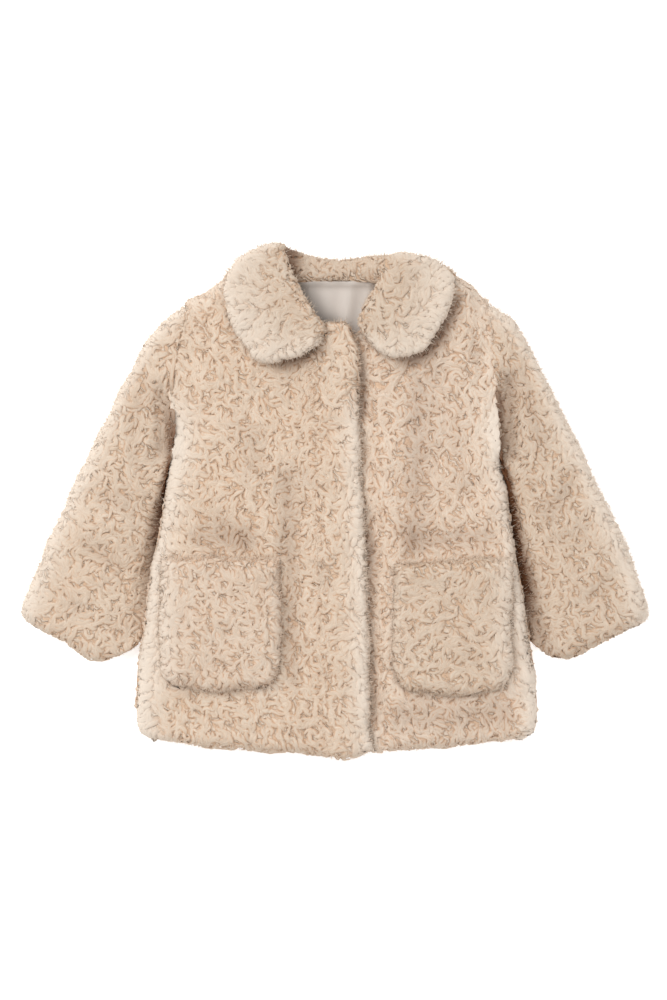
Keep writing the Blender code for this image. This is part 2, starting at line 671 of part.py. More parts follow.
def make_pocket(name):
    """A patch pocket with rounded lower corners, on its front's surface, open along its top."""
    left, right, low, high_left, high_right = POCKETS[name]
    rim = POCKET_RIM * np.array(RIM_STEPS)
    columns = np.concatenate((rim, np.linspace(POCKET_RIM, right - left - POCKET_RIM, 8)[1:-1],
                              right - left - rim[::-1]))
    height = 0.5 * (high_left + high_right) - low
    levels = np.concatenate((rim, np.linspace(POCKET_RIM, height - POCKET_RIM, 8)[1:-1],
                             height - rim[::-1]))
    dip = np.clip(1.0 - levels / POCKET_CORNER, 0.0, 1.0)
    inset = POCKET_CORNER * (1.0 - np.sqrt(1.0 - dip * dip)) * 0.72
    share_x = columns / (right - left)
    x = left + inset[:, None] + (right - left - 2.0 * inset[:, None]) * share_x
    share_y = (levels / height)[:, None]
    top = high_left + (high_right - high_left) * share_x
    belly = 3.0 * np.sin(math.pi * share_x) * (1.0 - share_y)
    y = low - belly + (top - low) * share_y

    share = rounded(columns, POCKET_RIM) * rounded(right - left - columns, POCKET_RIM)
    share = share * (rounded(levels, POCKET_RIM) * rounded(height - levels, 0.5 * POCKET_RIM))[:, None]
    under = resting(name, x, y) + SEAM
    gape = POCKET_MOUTH * ease(0.8 * height, 0.15 * height, levels)[:, None] * np.sin(math.pi * share_x)
    return sheet(name, x, y, under + (POCKET_WALL + gape) * share, under, FUR_TONES[name])


def make_lining():
    """The back's lining inside the neck, tucked under both fronts and under the collar's edge."""
    across = np.linspace(0.0, 1.0, 9)
    y = np.linspace(LINING_LOW, LINING_HIGH, 7)[:, None] + 0.0 * across
    narrow = LINING_TAPER * (LINING_HIGH - y) / (LINING_HIGH - LINING_LOW)
    x = LINING_LEFT + narrow + (LINING_WIDTH - 2.0 * narrow) * across
    level = lift(x, y) + LINING_LEVEL
    inside = np.zeros_like(x)
    inside[1:-1, 1:-1] = 1.0
    top = level + LINING_WALL * (0.5 + 0.5 * inside)
    bottom = level + 0.5 * LINING_WALL * (1.0 - inside)
    return sheet("lining_back", x, y, top, bottom, LINING_TONE)


# ---------------------------------------------------------------- the coat

def centre_on_ground(pieces):
    """Moves every mesh so that the origin is at the middle of the coat's box, on the ground."""
    corners = np.array([corner for piece in pieces for corner in piece.bound_box])
    low = corners.min(axis=0)
    high = corners.max(axis=0)
    shift = -np.array((0.5 * (low[0] + high[0]), 0.5 * (low[1] + high[1]), low[2]))
    for piece in pieces:
        for vertex in piece.data.vertices:
            vertex.co += type(vertex.co)(shift)


for old in list(bpy.data.objects):
    bpy.data.objects.remove(old)
coat = bpy.data.collections.new("faux_fur_coat")
cutters = bpy.data.collections.new("joined_shapes")
bpy.context.scene.collection.children.link(coat)
bpy.context.scene.collection.children.link(cutters)

make_back()
make_lining()
make_front_left()
make_front_right()
make_sleeve("sleeve_right", SLEEVE_RINGS.right_x, SIDES.right)
make_sleeve("sleeve_left", SLEEVE_RINGS.left_x, SIDES.left)
make_pocket("pocket_right")
make_pocket("pocket_left")
make_collar()
centre_on_ground(list(coat.objects) + list(cutters.objects))
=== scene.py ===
"""Dresses the solids of a small child's faux fur coat: cloth, curly pile, lining and a plain studio.

The coat lies flat on its back.  +X runs to the wearer's left, +Y from the hem to the neck and +Z up.
The tables are in millimetres, as the garment was cut: x from the middle of the coat, height from the
lowest point of the hem, levels from the ground.  Each piece of cloth is a skin, a grid of points with
rows along it and columns right round it, and the pile is laid on that grid lock by lock.
"""

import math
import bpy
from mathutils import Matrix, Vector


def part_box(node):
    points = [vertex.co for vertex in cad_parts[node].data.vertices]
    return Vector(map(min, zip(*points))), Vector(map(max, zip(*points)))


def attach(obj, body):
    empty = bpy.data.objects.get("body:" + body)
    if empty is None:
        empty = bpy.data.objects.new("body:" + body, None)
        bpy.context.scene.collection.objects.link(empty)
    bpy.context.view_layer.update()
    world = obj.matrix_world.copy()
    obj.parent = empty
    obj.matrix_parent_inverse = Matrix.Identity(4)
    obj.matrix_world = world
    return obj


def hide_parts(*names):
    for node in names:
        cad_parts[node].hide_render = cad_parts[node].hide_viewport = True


bl_info = {
    "name": "Faux Fur Coat",
    "version": (1, 0, 0),
    "blender": (4, 5, 0),
    "location": "View3D > Sidebar > Coat",
    "description": "Cloth, curly pile and lining for a child's coat that lies flat",
    "category": "Add Mesh",
}

from collections import namedtuple

import bmesh
import bpy
import numpy as np
from bpy.props import FloatProperty, FloatVectorProperty, PointerProperty

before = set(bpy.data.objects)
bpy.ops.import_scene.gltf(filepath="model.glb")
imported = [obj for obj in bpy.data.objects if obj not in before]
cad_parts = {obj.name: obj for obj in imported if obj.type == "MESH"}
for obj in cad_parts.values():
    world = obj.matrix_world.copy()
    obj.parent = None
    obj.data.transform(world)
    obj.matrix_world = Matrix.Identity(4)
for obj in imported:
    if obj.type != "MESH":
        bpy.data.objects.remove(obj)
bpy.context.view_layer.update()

MM = 0.001


def table(columns, *rows):
    """A short table with named columns, each an array."""
    fields = namedtuple("Table", columns)
    return fields(*np.array(rows, dtype=float).T)


# ---------------------------------------------------------------- the garment's sizes, in millimetres

SEAM = 0.3            # clearance between neighbouring pieces
WALL = 12.7           # fur cloth lying under its own weight
LAYER = WALL + SEAM
RIM = 11.0            # how far in a fold or a hem is rounded
CUT_RIM = 1.2         # the same at an armhole
HIDDEN_RIM = 1.5      # the same along the left front's edge under the placket
NECK_RIM = 5.0        # the same along a neckline
LEAST_RIM = 0.8
ARMPIT = 267.0
SHOULDER = 400.0
HEM_LEVEL = 16.0
SEAM_LAP = 2.8        # how far the body's cloth laps over the armhole seam
SHOULDER_RISE = 3.0   # how far the pile of the shoulders stands out
HEM_FLARE = 3.0       # how far the sides of the body stand out at the hem
HEM_TUCK = 2.5        # how far the back's pile stays behind the fronts' hems
EVEN = 0.8            # how much of its hills a piece is pressed by everywhere

FALL_WALL = 6.8       # the collar's fall behind the neck, pressed under the back
FALL_LIFT = 7.3
LIFT_MIDDLE = 3.0
LIFT_HALF_WIDTH = 104.0
LIFT_RAMP = 26.0
THIN_BACK = 11.1      # the back's wall over it

OVERLAP = 37.0        # width of the placket
PRESSED = 7.5         # the left front's wall under it
PLACKET_WALL = 11.5
SLACK = 0.8
PLACKET_RIM = 9.0

POCKET_WALL = 10.5
POCKET_RIM = 12.0
POCKET_CORNER = 25.0
CORNER_CUT = 0.72     # how much of a quarter circle's width a pocket's corner takes
POCKET_MOUTH = 1.6    # how far the open top edge gapes
POCKET_BELLY = 3.0    # how far its bottom edge hangs

WING_WALL = 12.0
WING_GAP = 0.5
REACH = 6.0
NECK_HOLE = (0.0, 396.0, 0.0)
STAND_LEVEL = 14.2
STAND_WIDTH = 8.0

LINING_WALL = 1.1
LINING_LEVEL = 11.5
LINING_LOW = 357.0
LINING_HIGH = 416.6
LINING_LEFT = -46.0   # its left edge at the seam
LINING_WIDTH = 95.0
LINING_TAPER = 2.0    # how far each side comes in at its lower end
LINING_TURN = 5.0     # how far it turns up towards its seam

SLEEVE_LEVEL = 26.0
SLEEVE_INNER = 14.0
SLEEVE_SLIT = 1.2
LEAST_HALF = 1.2      # the least half thickness of a sleeve
HOLLOW = (0.09, 0.84)    # where a sleeve's hollow starts and how wide it is, as shares of its width
CUFF_ROUND = 11.0
CUFF_TURN = 78.0      # how far the cuff's edge is turned in, in degrees, over its last rows
CUFF_ROWS = 7
CREVICE_DEPTH = 8.0   # how far a sleeve dips where it slips under the body's side
CREVICE_WIDTH = 20.0
CREVICE_REACH = 5.0   # how far it slips under

# Smooth steps, each with its start and its width, which is negative where it rises towards the start.
LIFT_STEP = (305.0, 50.0)                 # the body is raised over the collar's fall
THIN_STEP = (290.0, 18.0)                 # and the back is thinner there
PLACKET_STEP = (OVERLAP + 1.0, 10.0)      # the right front steps down beside its placket
HIDDEN_STEP = (OVERLAP + 1.0, 14.0)       # the left front rises beside it
LAP_STEP = (ARMPIT - 22.0, 30.0)          # the body starts to lap over the armhole seam
FLARE_STEP = (120.0, -50.0)               # its sides flare towards the hem
RISE_STEP = (75.0, 25.0)                  # the shoulders' pile stands out
SHOULDER_PALE = (66.0, 24.0)              # and is brushed out thin and paler, partly painted light
SIDE_PALE = (290.0, 40.0)                 # the fronts' sides no longer are, above the armpit
SEWN_STEP = (262.0, 14.0)                 # a sleeve's crevice becomes the armhole's seam

# Rows along each panel and columns across it, and the part of its top edge that is its neckline.
GRIDS = {"back": (72, 54), "right": (84, 52), "left": (84, 44)}
NECKLINES = {"back": (-58.0, 60.0), "right": (-57.0, 40.0), "left": (-40.0, 62.0)}
SLEEVE_GRID = (44, 26)
POCKET_GRID = (28, 28)
LINING_GRID = (28, 40)
WING_ROWS = 40
YOKE_ROWS = 56

SIDES = table(
    "height right left",
    (16.0, -158.8, 163.1), (18.0, -163.5, 168.0), (22.0, -168.0, 172.8), (28.0, -170.5, 174.8),
    (45.0, -171.8, 175.3), (68.0, -171.0, 173.6), (90.0, -169.4, 171.7), (116.0, -168.3, 169.6),
    (144.0, -164.9, 165.7), (172.0, -159.6, 160.4), (190.0, -156.1, 157.4), (207.0, -152.7, 154.8),
    (231.0, -149.2, 152.7), (253.0, -144.9, 147.1), (267.0, -140.5, 143.0), (289.0, -139.8, 141.8),
    (303.0, -141.6, 141.8), (318.0, -143.2, 141.7), (339.0, -142.0, 139.8), (353.0, -138.4, 137.8),
    (368.0, -134.4, 136.0), (389.0, -128.6, 132.8), (397.0, -126.5, 131.6), (400.0, -125.7, 131.2),
)
HEM = table(
    "x height",
    (-158.8, 16.0), (-142.0, 13.4), (-117.0, 10.4), (-82.0, 7.8), (-47.0, 5.2), (-28.0, 3.0),
    (-6.0, 1.0), (10.0, 0.0), (22.0, 1.7), (33.0, 6.0), (40.0, 12.0),
)
HEM_LEFT = table(
    "x height",
    (-12.0, 9.0), (22.0, 6.5), (40.0, 5.4), (57.0, 7.8), (92.0, 9.6), (127.0, 12.6), (163.1, 16.0),
)
HEM_BACK = table(
    "x height",
    (-158.8, 16.0), (-117.0, 12.0), (-47.0, 8.0), (5.0, 6.0), (57.0, 8.6), (127.0, 13.2), (163.1, 16.0),
)
TOP_BACK = table(
    "x height",
    (-125.7, 400.0), (-109.0, 407.5), (-96.0, 415.0), (-81.0, 424.0), (-63.0, 432.0), (-57.5, 429.0),
    (-52.0, 413.3), (55.0, 413.3), (60.0, 426.0), (66.0, 429.5), (74.0, 428.5), (92.0, 423.0),
    (108.0, 417.0), (120.0, 409.6), (131.2, 400.0),
)
TOP_RIGHT = table(
    "x height",
    (-125.7, 400.0), (-109.0, 407.5), (-96.0, 415.0), (-81.0, 424.0), (-63.0, 432.0), (-57.0, 429.0),
    (-50.0, 417.0), (-41.0, 400.5), (-30.0, 386.0), (-16.0, 380.5), (-4.0, 382.8), (7.0, 383.0),
    (12.5, 379.5), (16.5, 373.0), (21.0, 363.0),
)
TOP_LEFT = table(
    "x height",
    (-15.0, 366.0), (0.0, 369.0), (14.0, 371.0), (25.0, 378.0), (38.0, 394.0), (49.0, 410.0),
    (57.0, 422.0), (62.0, 427.5), (66.0, 429.5), (74.0, 428.5), (92.0, 423.0), (108.0, 417.0),
    (120.0, 409.6), (131.2, 400.0),
)
FREE_EDGE = table(
    "height x",
    (16.0, 36.5), (28.0, 36.0), (45.0, 33.5), (68.0, 32.6), (132.0, 32.6), (172.0, 31.5), (207.0, 29.6),
    (231.0, 29.0), (267.0, 26.8), (318.0, 24.0), (368.0, 23.5), (400.0, 21.0),
)
# Painted shade along the line of the placket's edge, and painted light where it is negative.
PLACKET_SHADE = table(
    "height dark",
    (20.0, -0.4), (34.0, 0.2), (60.0, 0.4), (110.0, 0.2), (150.0, 0.35), (190.0, 0.6), (215.0, -0.2),
    (235.0, 0.1), (250.0, -0.2), (270.0, 0.1), (285.0, -0.3), (305.0, 0.6), (345.0, 0.45), (372.0, -0.2),
)
# Soft folds in the fronts: a trough from one end to the other, or a ridge where the depth is negative.
FOLDS = table(
    "x0 height0 x1 height1 width depth",
    (-41.0, 245.0, -40.0, 70.0, 10.0, 3.2),
    (-140.0, 196.0, -78.0, 190.0, 9.0, 2.6),
    (70.0, 190.0, 150.0, 194.0, 9.0, 2.6),
    (-8.0, 166.0, -6.0, 150.0, 8.0, 1.6),
    (86.0, 340.0, 70.0, 235.0, 16.0, 1.6),
    (-92.0, 330.0, -80.0, 240.0, 18.0, -1.4),
)
# Painted shade on the fronts: soft dark bands, each fading from its line.
FRONT_SHADE_BANDS = table(
    "x0 height0 x1 height1 width depth",
    (70.0, 322.0, 71.0, 188.0, 9.0, 0.14), (-80.0, 292.0, -70.0, 254.0, 13.0, 0.13),
    (62.0, 38.0, 150.0, 40.0, 16.0, 0.20),
    (-100.0, 206.0, -78.0, 190.0, 13.0, 0.16), (64.0, 202.0, 66.0, 184.0, 9.0, 0.20),
    (104.0, 296.0, 112.0, 236.0, 10.0, 0.10), (-28.0, 250.0, -14.0, 236.0, 6.0, 0.12),
)
# Folds on the outside of the back, which the ground presses nearly flat.
BACK_FOLDS = table(
    "x0 height0 x1 height1 width depth",
    (-64.0, 372.0, -52.0, 236.0, 9.0, 1.6),
    (58.0, 366.0, 66.0, 262.0, 8.0, 1.4),
    (-118.0, 250.0, -96.0, 92.0, 10.0, 1.8),
    (112.0, 232.0, 100.0, 120.0, 11.0, 1.5),
    (4.0, 300.0, -6.0, 44.0, 12.0, 1.2),
)
# Folds of the sleeves, in the coat's own plan: across the elbow and down from the shoulder.
SLEEVE_FOLDS = table(
    "x0 height0 x1 height1 width depth",
    (-214.0, 232.0, -180.0, 222.0, 7.0, 2.4),
    (-232.0, 196.0, -196.0, 176.0, 6.0, 2.0),
    (-168.0, 330.0, -176.0, 262.0, 8.0, 1.8),
    (-244.0, 150.0, -222.0, 128.0, 6.0, 1.6),
    (212.0, 246.0, 184.0, 214.0, 8.0, 2.6),
    (228.0, 206.0, 192.0, 190.0, 6.0, 1.8),
    (166.0, 344.0, 178.0, 272.0, 8.0, 2.2),
    (246.0, 158.0, 214.0, 140.0, 7.0, 1.8),
    (152.0, 330.0, 150.0, 268.0, 8.0, 7.0),
    (-151.0, 322.0, -149.0, 268.0, 7.0, 4.5),
)
# Painted shade in the crevice between each sleeve and the body, from the cuff to the armhole; painted light
# where negative.
CREVICE_SHADE = table(
    "height right left",
    (95.0, -0.1, 0.3), (125.0, -0.3, 0.6), (150.0, -0.3, 1.0), (175.0, 0.1, 1.2), (195.0, 0.8, 1.2),
    (240.0, 1.0, 1.2), (280.0, 0.9, 1.1), (300.0, 0.55, 0.9), (318.0, 0.3, 0.7), (335.0, 0.0, 0.0),
)
# How far the inner corner of each cuff is rounded.
CUFF_CORNER = {"sleeve_right": 22.0, "sleeve_left": 18.0}
CUFF_SAG = {"sleeve_right": 6.5, "sleeve_left": 2.5}    # how far a cuff hangs lower beside that corner
SLEEVE_RINGS = table(
    "right_x left_x outer_height inner_height side_gap slope bow",
    (-125.7, 131.2, 400.0, 267.0, 0.0, 0.0, 0.0),
    (-147.0, 153.5, 385.5, 253.0, 0.0, 0.4, 0.0),
    (-169.2, 172.5, 356.0, 231.0, 0.0, 0.8, 0.0),
    (-189.8, 192.0, 318.0, 207.0, 0.0, 1.0, 1.0),
    (-203.6, 206.2, 290.0, 190.0, 0.0, 1.0, 1.0),
    (-217.0, 219.5, 262.0, 172.0, 0.0, 1.0, 2.0),
    (-238.2, 240.0, 220.0, 144.0, 0.0, 1.0, 2.0),
    (-258.2, 261.0, 174.0, 117.0, 0.0, 0.8, 3.0),
    (-272.6, 273.0, 133.0, 97.0, 7.0, 0.6, 5.0),
)
WING_RIGHT = table(
    "outer_x outer_y inner_x inner_y swell stand",
    (-13.0, 361.5, -7.0, 373.0, 0.35, 0), (-16.5, 357.5, -6.5, 378.0, 0.8, 0),
    (-26.0, 352.0, -11.0, 384.0, 1.0, 0), (-38.0, 347.5, -16.5, 390.0, 1.0, 0),
    (-54.0, 343.7, -21.0, 396.5, 1.0, 1), (-72.0, 347.5, -25.7, 404.0, 1.0, 1),
    (-85.0, 364.0, -29.5, 411.5, 1.0, 1), (-93.0, 385.0, -32.5, 418.0, 1.0, 1),
    (-98.5, 404.0, -35.5, 425.0, 1.0, 1), (-95.8, 420.0, -37.5, 430.0, 1.0, 1),
    (-86.0, 433.5, -39.0, 435.0, 1.0, 1), (-71.0, 444.0, -40.0, 439.5, 1.0, 1),
    (-55.0, 449.3, -41.0, 443.0, 0.92, 1),
)
WING_LEFT = table(
    "outer_x outer_y inner_x inner_y swell stand",
    (28.0, 366.0, 21.5, 376.0, 0.35, 0), (33.0, 360.0, 19.0, 380.0, 0.8, 0),
    (42.0, 352.5, 19.5, 385.0, 1.0, 0), (54.0, 347.3, 21.5, 390.6, 1.0, 0),
    (68.0, 348.5, 25.0, 396.5, 1.0, 1), (82.0, 356.5, 28.5, 402.5, 1.0, 1),
    (92.0, 371.0, 32.0, 408.0, 1.0, 1), (99.0, 389.0, 35.0, 413.0, 1.0, 1),
    (105.5, 406.0, 36.5, 418.0, 1.0, 1), (105.5, 420.0, 36.5, 422.0, 1.0, 1),
    (96.5, 431.0, 36.0, 426.0, 1.0, 1), (81.0, 438.3, 35.5, 430.0, 1.0, 1),
    (62.0, 440.0, 35.0, 434.0, 0.92, 1),
)
WINGS = {"right": WING_RIGHT, "left": WING_LEFT}

YOKE = table(
    "x roll seam fall crown",
    (-94.5, 420.5, 418.0, 405.0, 33.0), (-89.0, 429.5, 422.5, 393.0, 39.0),
    (-81.0, 438.0, 429.0, 384.0, 40.0), (-72.0, 443.8, 435.5, 379.0, 40.0),
    (-61.0, 447.8, 439.0, 376.5, 40.0), (-50.0, 449.5, 440.5, 375.0, 39.0),
    (-42.0, 447.5, 424.0, 374.5, 36.0), (-36.0, 444.8, 415.0, 374.0, 32.5),
    (-28.0, 441.8, 415.0, 374.0, 30.0), (-13.0, 437.8, 415.0, 373.0, 29.0),
    (5.0, 436.6, 415.0, 373.0, 28.5), (20.0, 438.0, 415.0, 373.0, 29.5),
    (30.0, 439.6, 415.0, 373.5, 32.5), (38.0, 440.2, 415.0, 374.0, 37.0),
    (50.0, 440.2, 421.0, 375.0, 39.0), (58.0, 440.0, 431.6, 376.0, 40.0),
    (70.0, 439.6, 432.6, 377.5, 40.0), (80.0, 438.2, 430.6, 381.0, 40.0),
    (92.0, 433.2, 426.6, 388.0, 40.0), (100.0, 427.0, 423.0, 397.0, 38.0),
    (105.0, 421.5, 419.2, 406.0, 33.0),
)
# Patch pockets: sides, bottom, and the two ends of the open top edge.
POCKETS = {
    "pocket_right": (-154.0, -45.0, 62.0, 178.0, 177.0),
    "pocket_left": (49.5, 157.0, 59.0, 172.5, 177.5),
}
LINING_FOLDS = table(
    "x0 height0 x1 height1 width depth",
    (-22.0, 412.0, -15.0, 372.0, 3.5, -1.0), (-4.0, 413.0, -5.0, 384.0, 4.0, -0.6),
    (14.0, 412.0, 9.0, 366.0, 4.5, -1.2), (31.0, 412.0, 24.0, 380.0, 3.0, -0.8),
)
# A wing's profile: how far in the points of its rounded edge stand, and the heights from its outer edge
# over the top to its stand and back along its underside.
WING_EDGE = np.array((0.0, 0.12, 0.3, 0.6))
WING_TOP = (0.45, 0.86, 1.0, 1.05, 1.05, 1.0, 0.86, 0.45)
WING_UNDER = (0.45, 0.15, 0.04, 0.0, 0.0, 0.0, 0.0, 0.0, 0.0, 0.12)
WING_TOP_COLUMNS = 14
STAND_HEIGHTS = np.array((2.5, 0.3, 0.0))

# The garment's own origin in the frame: its left-most and top-most points are the back's.
BACK_LOW, BACK_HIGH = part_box("back")
ORIGIN = np.array((SIDES.right.min() - BACK_LOW.x / MM, TOP_BACK.height.max() - BACK_HIGH.y / MM, 0.0))


# ---------------------------------------------------------------- outlines and levels

def ease(start, width, value):
    """A smooth step from 0 at start to 1 at start + width."""
    t = np.clip((value - start) / width, 0.0, 1.0)
    return t * t * (3.0 - 2.0 * t)


def halo(distance, width):
    """Fades from 1 with the square of the distance, and stays 1 where the distance is negative."""
    return np.exp(-(np.maximum(distance, 0.0) / width) ** 2)


def rounded(distance, radius):
    """Share of the full thickness at a distance in from an edge: a quarter of an ellipse."""
    t = 1.0 - np.clip(distance / radius, 0.0, 1.0)
    return np.sqrt(1.0 - t * t)


def crowded(count, crowding=0.6):
    """Shares from 0 to 1, closer together towards both ends: t less a sine wave of one period."""
    t = np.linspace(0.0, 1.0, count)
    return t - crowding * np.sin(2.0 * math.pi * t) / (2.0 * math.pi)


def lift(x, y):
    """How far the collar's fall raises the body, near the neck only."""
    across = 1.0 - ease(LIFT_HALF_WIDTH, LIFT_RAMP, np.abs(x - LIFT_MIDDLE))
    return FALL_LIFT * across * ease(*LIFT_STEP, y)


def from_line(x, y, start, stop):
    """Distance of points from the straight line between two ends."""
    run = np.subtract(stop, start)
    along = ((x - start[0]) * run[0] + (y - start[1]) * run[1]) / max(run.dot(run), 1e-9)
    along = np.clip(along, 0.0, 1.0)
    return np.hypot(x - start[0] - along * run[0], y - start[1] - along * run[1])


def folds(shapes, x, y):
    """Depth of soft folds: each fades with the square of the distance from its line."""
    depth = np.zeros_like(x)
    for x0, y0, x1, y1, width, drop in zip(*shapes):
        depth += drop * halo(from_line(x, y, (x0, y0), (x1, y1)), width)
    return depth


def inside(x, y, outline):
    """Whether points lie inside a closed outline: a ray to the right crosses it an odd number of times."""
    result = np.zeros(x.shape, dtype=bool)
    for (x0, y0), (x1, y1) in zip(outline, np.roll(outline, -1, axis=0)):
        crosses = (y0 > y) != (y1 > y)
        reach = x0 + (y - y0) * (x1 - x0) / (y1 - y0 if y1 != y0 else 1.0)
        result ^= crosses & (x < reach)
    return result


def away(x, y, outline):
    """How far points lie outside a closed outline: the distance to its nearest side, and nothing inside."""
    sides = zip(outline, np.roll(outline, -1, axis=0))
    nearest = np.min([from_line(x, y, start, stop) for start, stop in sides], axis=0)
    return np.where(inside(x, y, outline), 0.0, nearest)


def covered(x, y, outline, margin):
    """Whether points lie inside an outline by at least a margin."""
    shifts = ((margin, 0.0), (-margin, 0.0), (0.0, margin), (0.0, -margin))
    return np.all([inside(x + dx, y + dy, outline) for dx, dy in shifts], axis=0)


def front_level(x, y):
    """Underside of both fronts, one layer above the raised ground."""
    return lift(x, y) + LAYER


def right_front_levels(x, y, to_edge):
    """Underside and top of the right front, to_edge away from its free edge."""
    step = 1.0 - ease(*PLACKET_STEP, to_edge)
    level = front_level(x, y)
    under = PRESSED + SEAM + SLACK * ease(*THIN_STEP, y)
    return level + under * step, level + LAYER + (under + PLACKET_WALL - LAYER) * step - folds(FOLDS, x, y)


def left_front_levels(x, y, from_edge):
    """Underside and top of the left front, from_edge away from its edge under the placket."""
    level = front_level(x, y)
    return level, level + PRESSED + (LAYER - PRESSED - folds(FOLDS, x, y)) * ease(*HIDDEN_STEP, from_edge)


def free_edge(height):
    return np.interp(height, FREE_EDGE.height, FREE_EDGE.x)


def front_top(name, x, y):
    """Top of the front on the right or the left side, carried on past its edges."""
    if name.endswith("right"):
        return right_front_levels(x, y, free_edge(y) - x)[1]
    return left_front_levels(x, y, np.full_like(x, 2.0 * OVERLAP))[1]


def resting(name, x, y):
    """The highest level of a front within REACH of each point, which a piece on it has to clear."""
    around = ((0.0, 0.0), (REACH, 0.0), (-REACH, 0.0), (0.0, REACH), (0.0, -REACH))
    return np.max([front_top(name, x + dx, y + dy) for dx, dy in around], axis=0)


# ---------------------------------------------------------------- skins

class Swells:
    """A smooth random field of unit height: a sum of waves that run in random directions."""

    def __init__(self, rng, size, waves=16):
        runs = rng.normal(size=(waves, 3))
        lengths = size * rng.uniform(0.7, 1.5, (waves, 1))
        self.runs = 2.0 * math.pi * runs / (np.linalg.norm(runs, axis=1, keepdims=True) * lengths)
        self.starts = rng.uniform(0.0, 2.0 * math.pi, waves)

    def __call__(self, points):
        waves = np.cos(points @ self.runs.T + self.starts)
        return waves.sum(axis=-1) * math.sqrt(2.0 / len(self.starts))


def unit(vectors):
    return vectors / np.maximum(np.linalg.norm(vectors, axis=-1, keepdims=True), 1e-9)


class Skin:
    """A closed skin: rows of points along it, columns right round it, and where it bears pile and fuzz."""

    def __init__(self, points, pile, shade=None, looped=False, fuzz=None):
        self.points = points
        self.pile = pile
        self.fuzz = np.ones(pile.shape) if fuzz is None else fuzz
        self.shade = np.zeros(pile.shape) if shade is None else shade
        self.looped = looped
        self.measure()

    def measure(self):
        """Steps to the next point round and along the skin, and normals that point outwards."""
        self.round = 0.5 * (np.roll(self.points, -1, axis=1) - np.roll(self.points, 1, axis=1))
        self.along = np.gradient(self.points, axis=0)
        cross = np.cross(self.round, self.along)
        self.normals = unit(cross)
        if (cross * self.points).sum() < 0.0:
            self.normals = -self.normals

    def press(self, depth):
        """Moves the side with pile inwards, and never into the ground."""
        self.points = self.points - self.normals * (depth * self.pile)[..., None]
        self.points[..., 2] = np.maximum(self.points[..., 2], 0.0)
        self.measure()

    def at(self, field, row, col):
        """A field of the grid between its points: linear along both ways, round without an end."""
        rows, around = field.shape[:2]
        i = np.clip(np.floor(row).astype(int), 0, rows - 2)
        j = np.floor(col).astype(int)
        a = np.clip(row - i, 0.0, 1.0)
        b = col - j
        j, k = j % around, (j + 1) % around
        if field.ndim > 2:
            a, b = a[..., None], b[..., None]
        low = field[i, j] * (1.0 - b) + field[i, k] * b
        high = field[i + 1, j] * (1.0 - b) + field[i + 1, k] * b
        return low * (1.0 - a) + high * a

    def facing_ground(self):
        return ease(-0.5, 0.3, -self.normals[..., 2])

    def spots(self, rng, spacing, weight):
        """Places for pile, evenly spread over its area: the grid's cells in turn, cut into equal shares."""
        nxt = np.roll(self.points, -1, axis=1)
        side, run = nxt - self.points, self.points[1:] - self.points[:-1]
        turned = np.cross(side[:-1], run) + np.cross(side[1:], np.roll(run, -1, axis=1))
        area = 0.5 * np.linalg.norm(turned, axis=2)
        share = area * np.minimum(self.pile[:-1], self.pile[1:]) * weight[:-1]
        total = np.cumsum(share.ravel())
        count = int(total[-1] / spacing ** 2)
        marks = (np.arange(count) + rng.uniform(0.1, 0.9, count)) / count * total[-1]
        cell = np.minimum(np.searchsorted(total, marks), total.size - 1)
        before = total[cell] - share.ravel()[cell]
        row, col = np.divmod(cell, share.shape[1])
        return row + rng.uniform(0.0, 1.0, count), col + (marks - before) / share.ravel()[cell]


def ring(top_points, under_points):
    """Closed rows: over the top and back underneath, with the two edges shared."""
    return np.concatenate((top_points, under_points[:, -2:0:-1]), axis=1)


def over_and_under(x, y, top, bottom):
    return ring(np.stack((x, y, top), axis=-1), np.stack((x, y, bottom), axis=-1))


def body_plan(left, right, low, high, inset, grid):
    """Plan of a body panel, a little inside its outline: rows from hem to top, columns across.

    Above the armpit, where a sleeve is sewn to its side, it laps over the seam.
    """
    rows, cols = grid
    height = HEM_LEVEL + (SHOULDER - HEM_LEVEL) * crowded(rows)[:, None]
    sewn = ease(*LAP_STEP, height)
    free = inset * (1.0 - sewn) - SEAM_LAP * sewn - HEM_FLARE * ease(*FLARE_STEP, height)
    start = left(height) + (free if left is right_side else inset)
    stop = right(height) - (free if right is left_side else inset)
    x = start + (stop - start) * crowded(cols)
    share = (height - HEM_LEVEL) / (SHOULDER - HEM_LEVEL)
    bottom = low(x) + inset
    top = high(x) - inset
    return height, x, bottom + (top - bottom) * share, start, stop


def panel_share(x, y, start, stop, low, high, rims, neckline, inset):
    """Thickness share of a panel: rounded at its two sides, its hem and its top edge."""
    def soft(distance, radius):
        return rounded(distance, np.maximum(radius - inset, LEAST_RIM))
    rim_top = np.where((x > neckline[0]) & (x < neckline[1]), NECK_RIM, RIM)
    share = soft(x - start, rims[0]) * soft(stop - x, rims[1])
    return share * soft(y - low(x) - inset, RIM) * soft(high(x) - inset - y, rim_top)


def side_rim(height):
    return np.where(height < ARMPIT, RIM, CUT_RIM)


def follows(line):
    return lambda x: np.interp(x, line.x, line.height)


def shoulders(line):
    """A top edge, a little higher at the shoulders, where the pile stands out."""
    return lambda x: np.interp(x, line.x, line.height) + SHOULDER_RISE * ease(*RISE_STEP, np.abs(x))


def shoulder_edge(points, high):
    """Where a front is paler along its shoulder: brushed out thin, partly painted light."""
    x, y = points[..., 0], points[..., 1]
    return 0.55 * pale_edge(high(x) - y - SHOULDER_RISE, 11.0) * ease(*SHOULDER_PALE, np.abs(x))


def right_side(height):
    return np.interp(height, SIDES.height, SIDES.right)


def left_side(height):
    return np.interp(height, SIDES.height, SIDES.left)


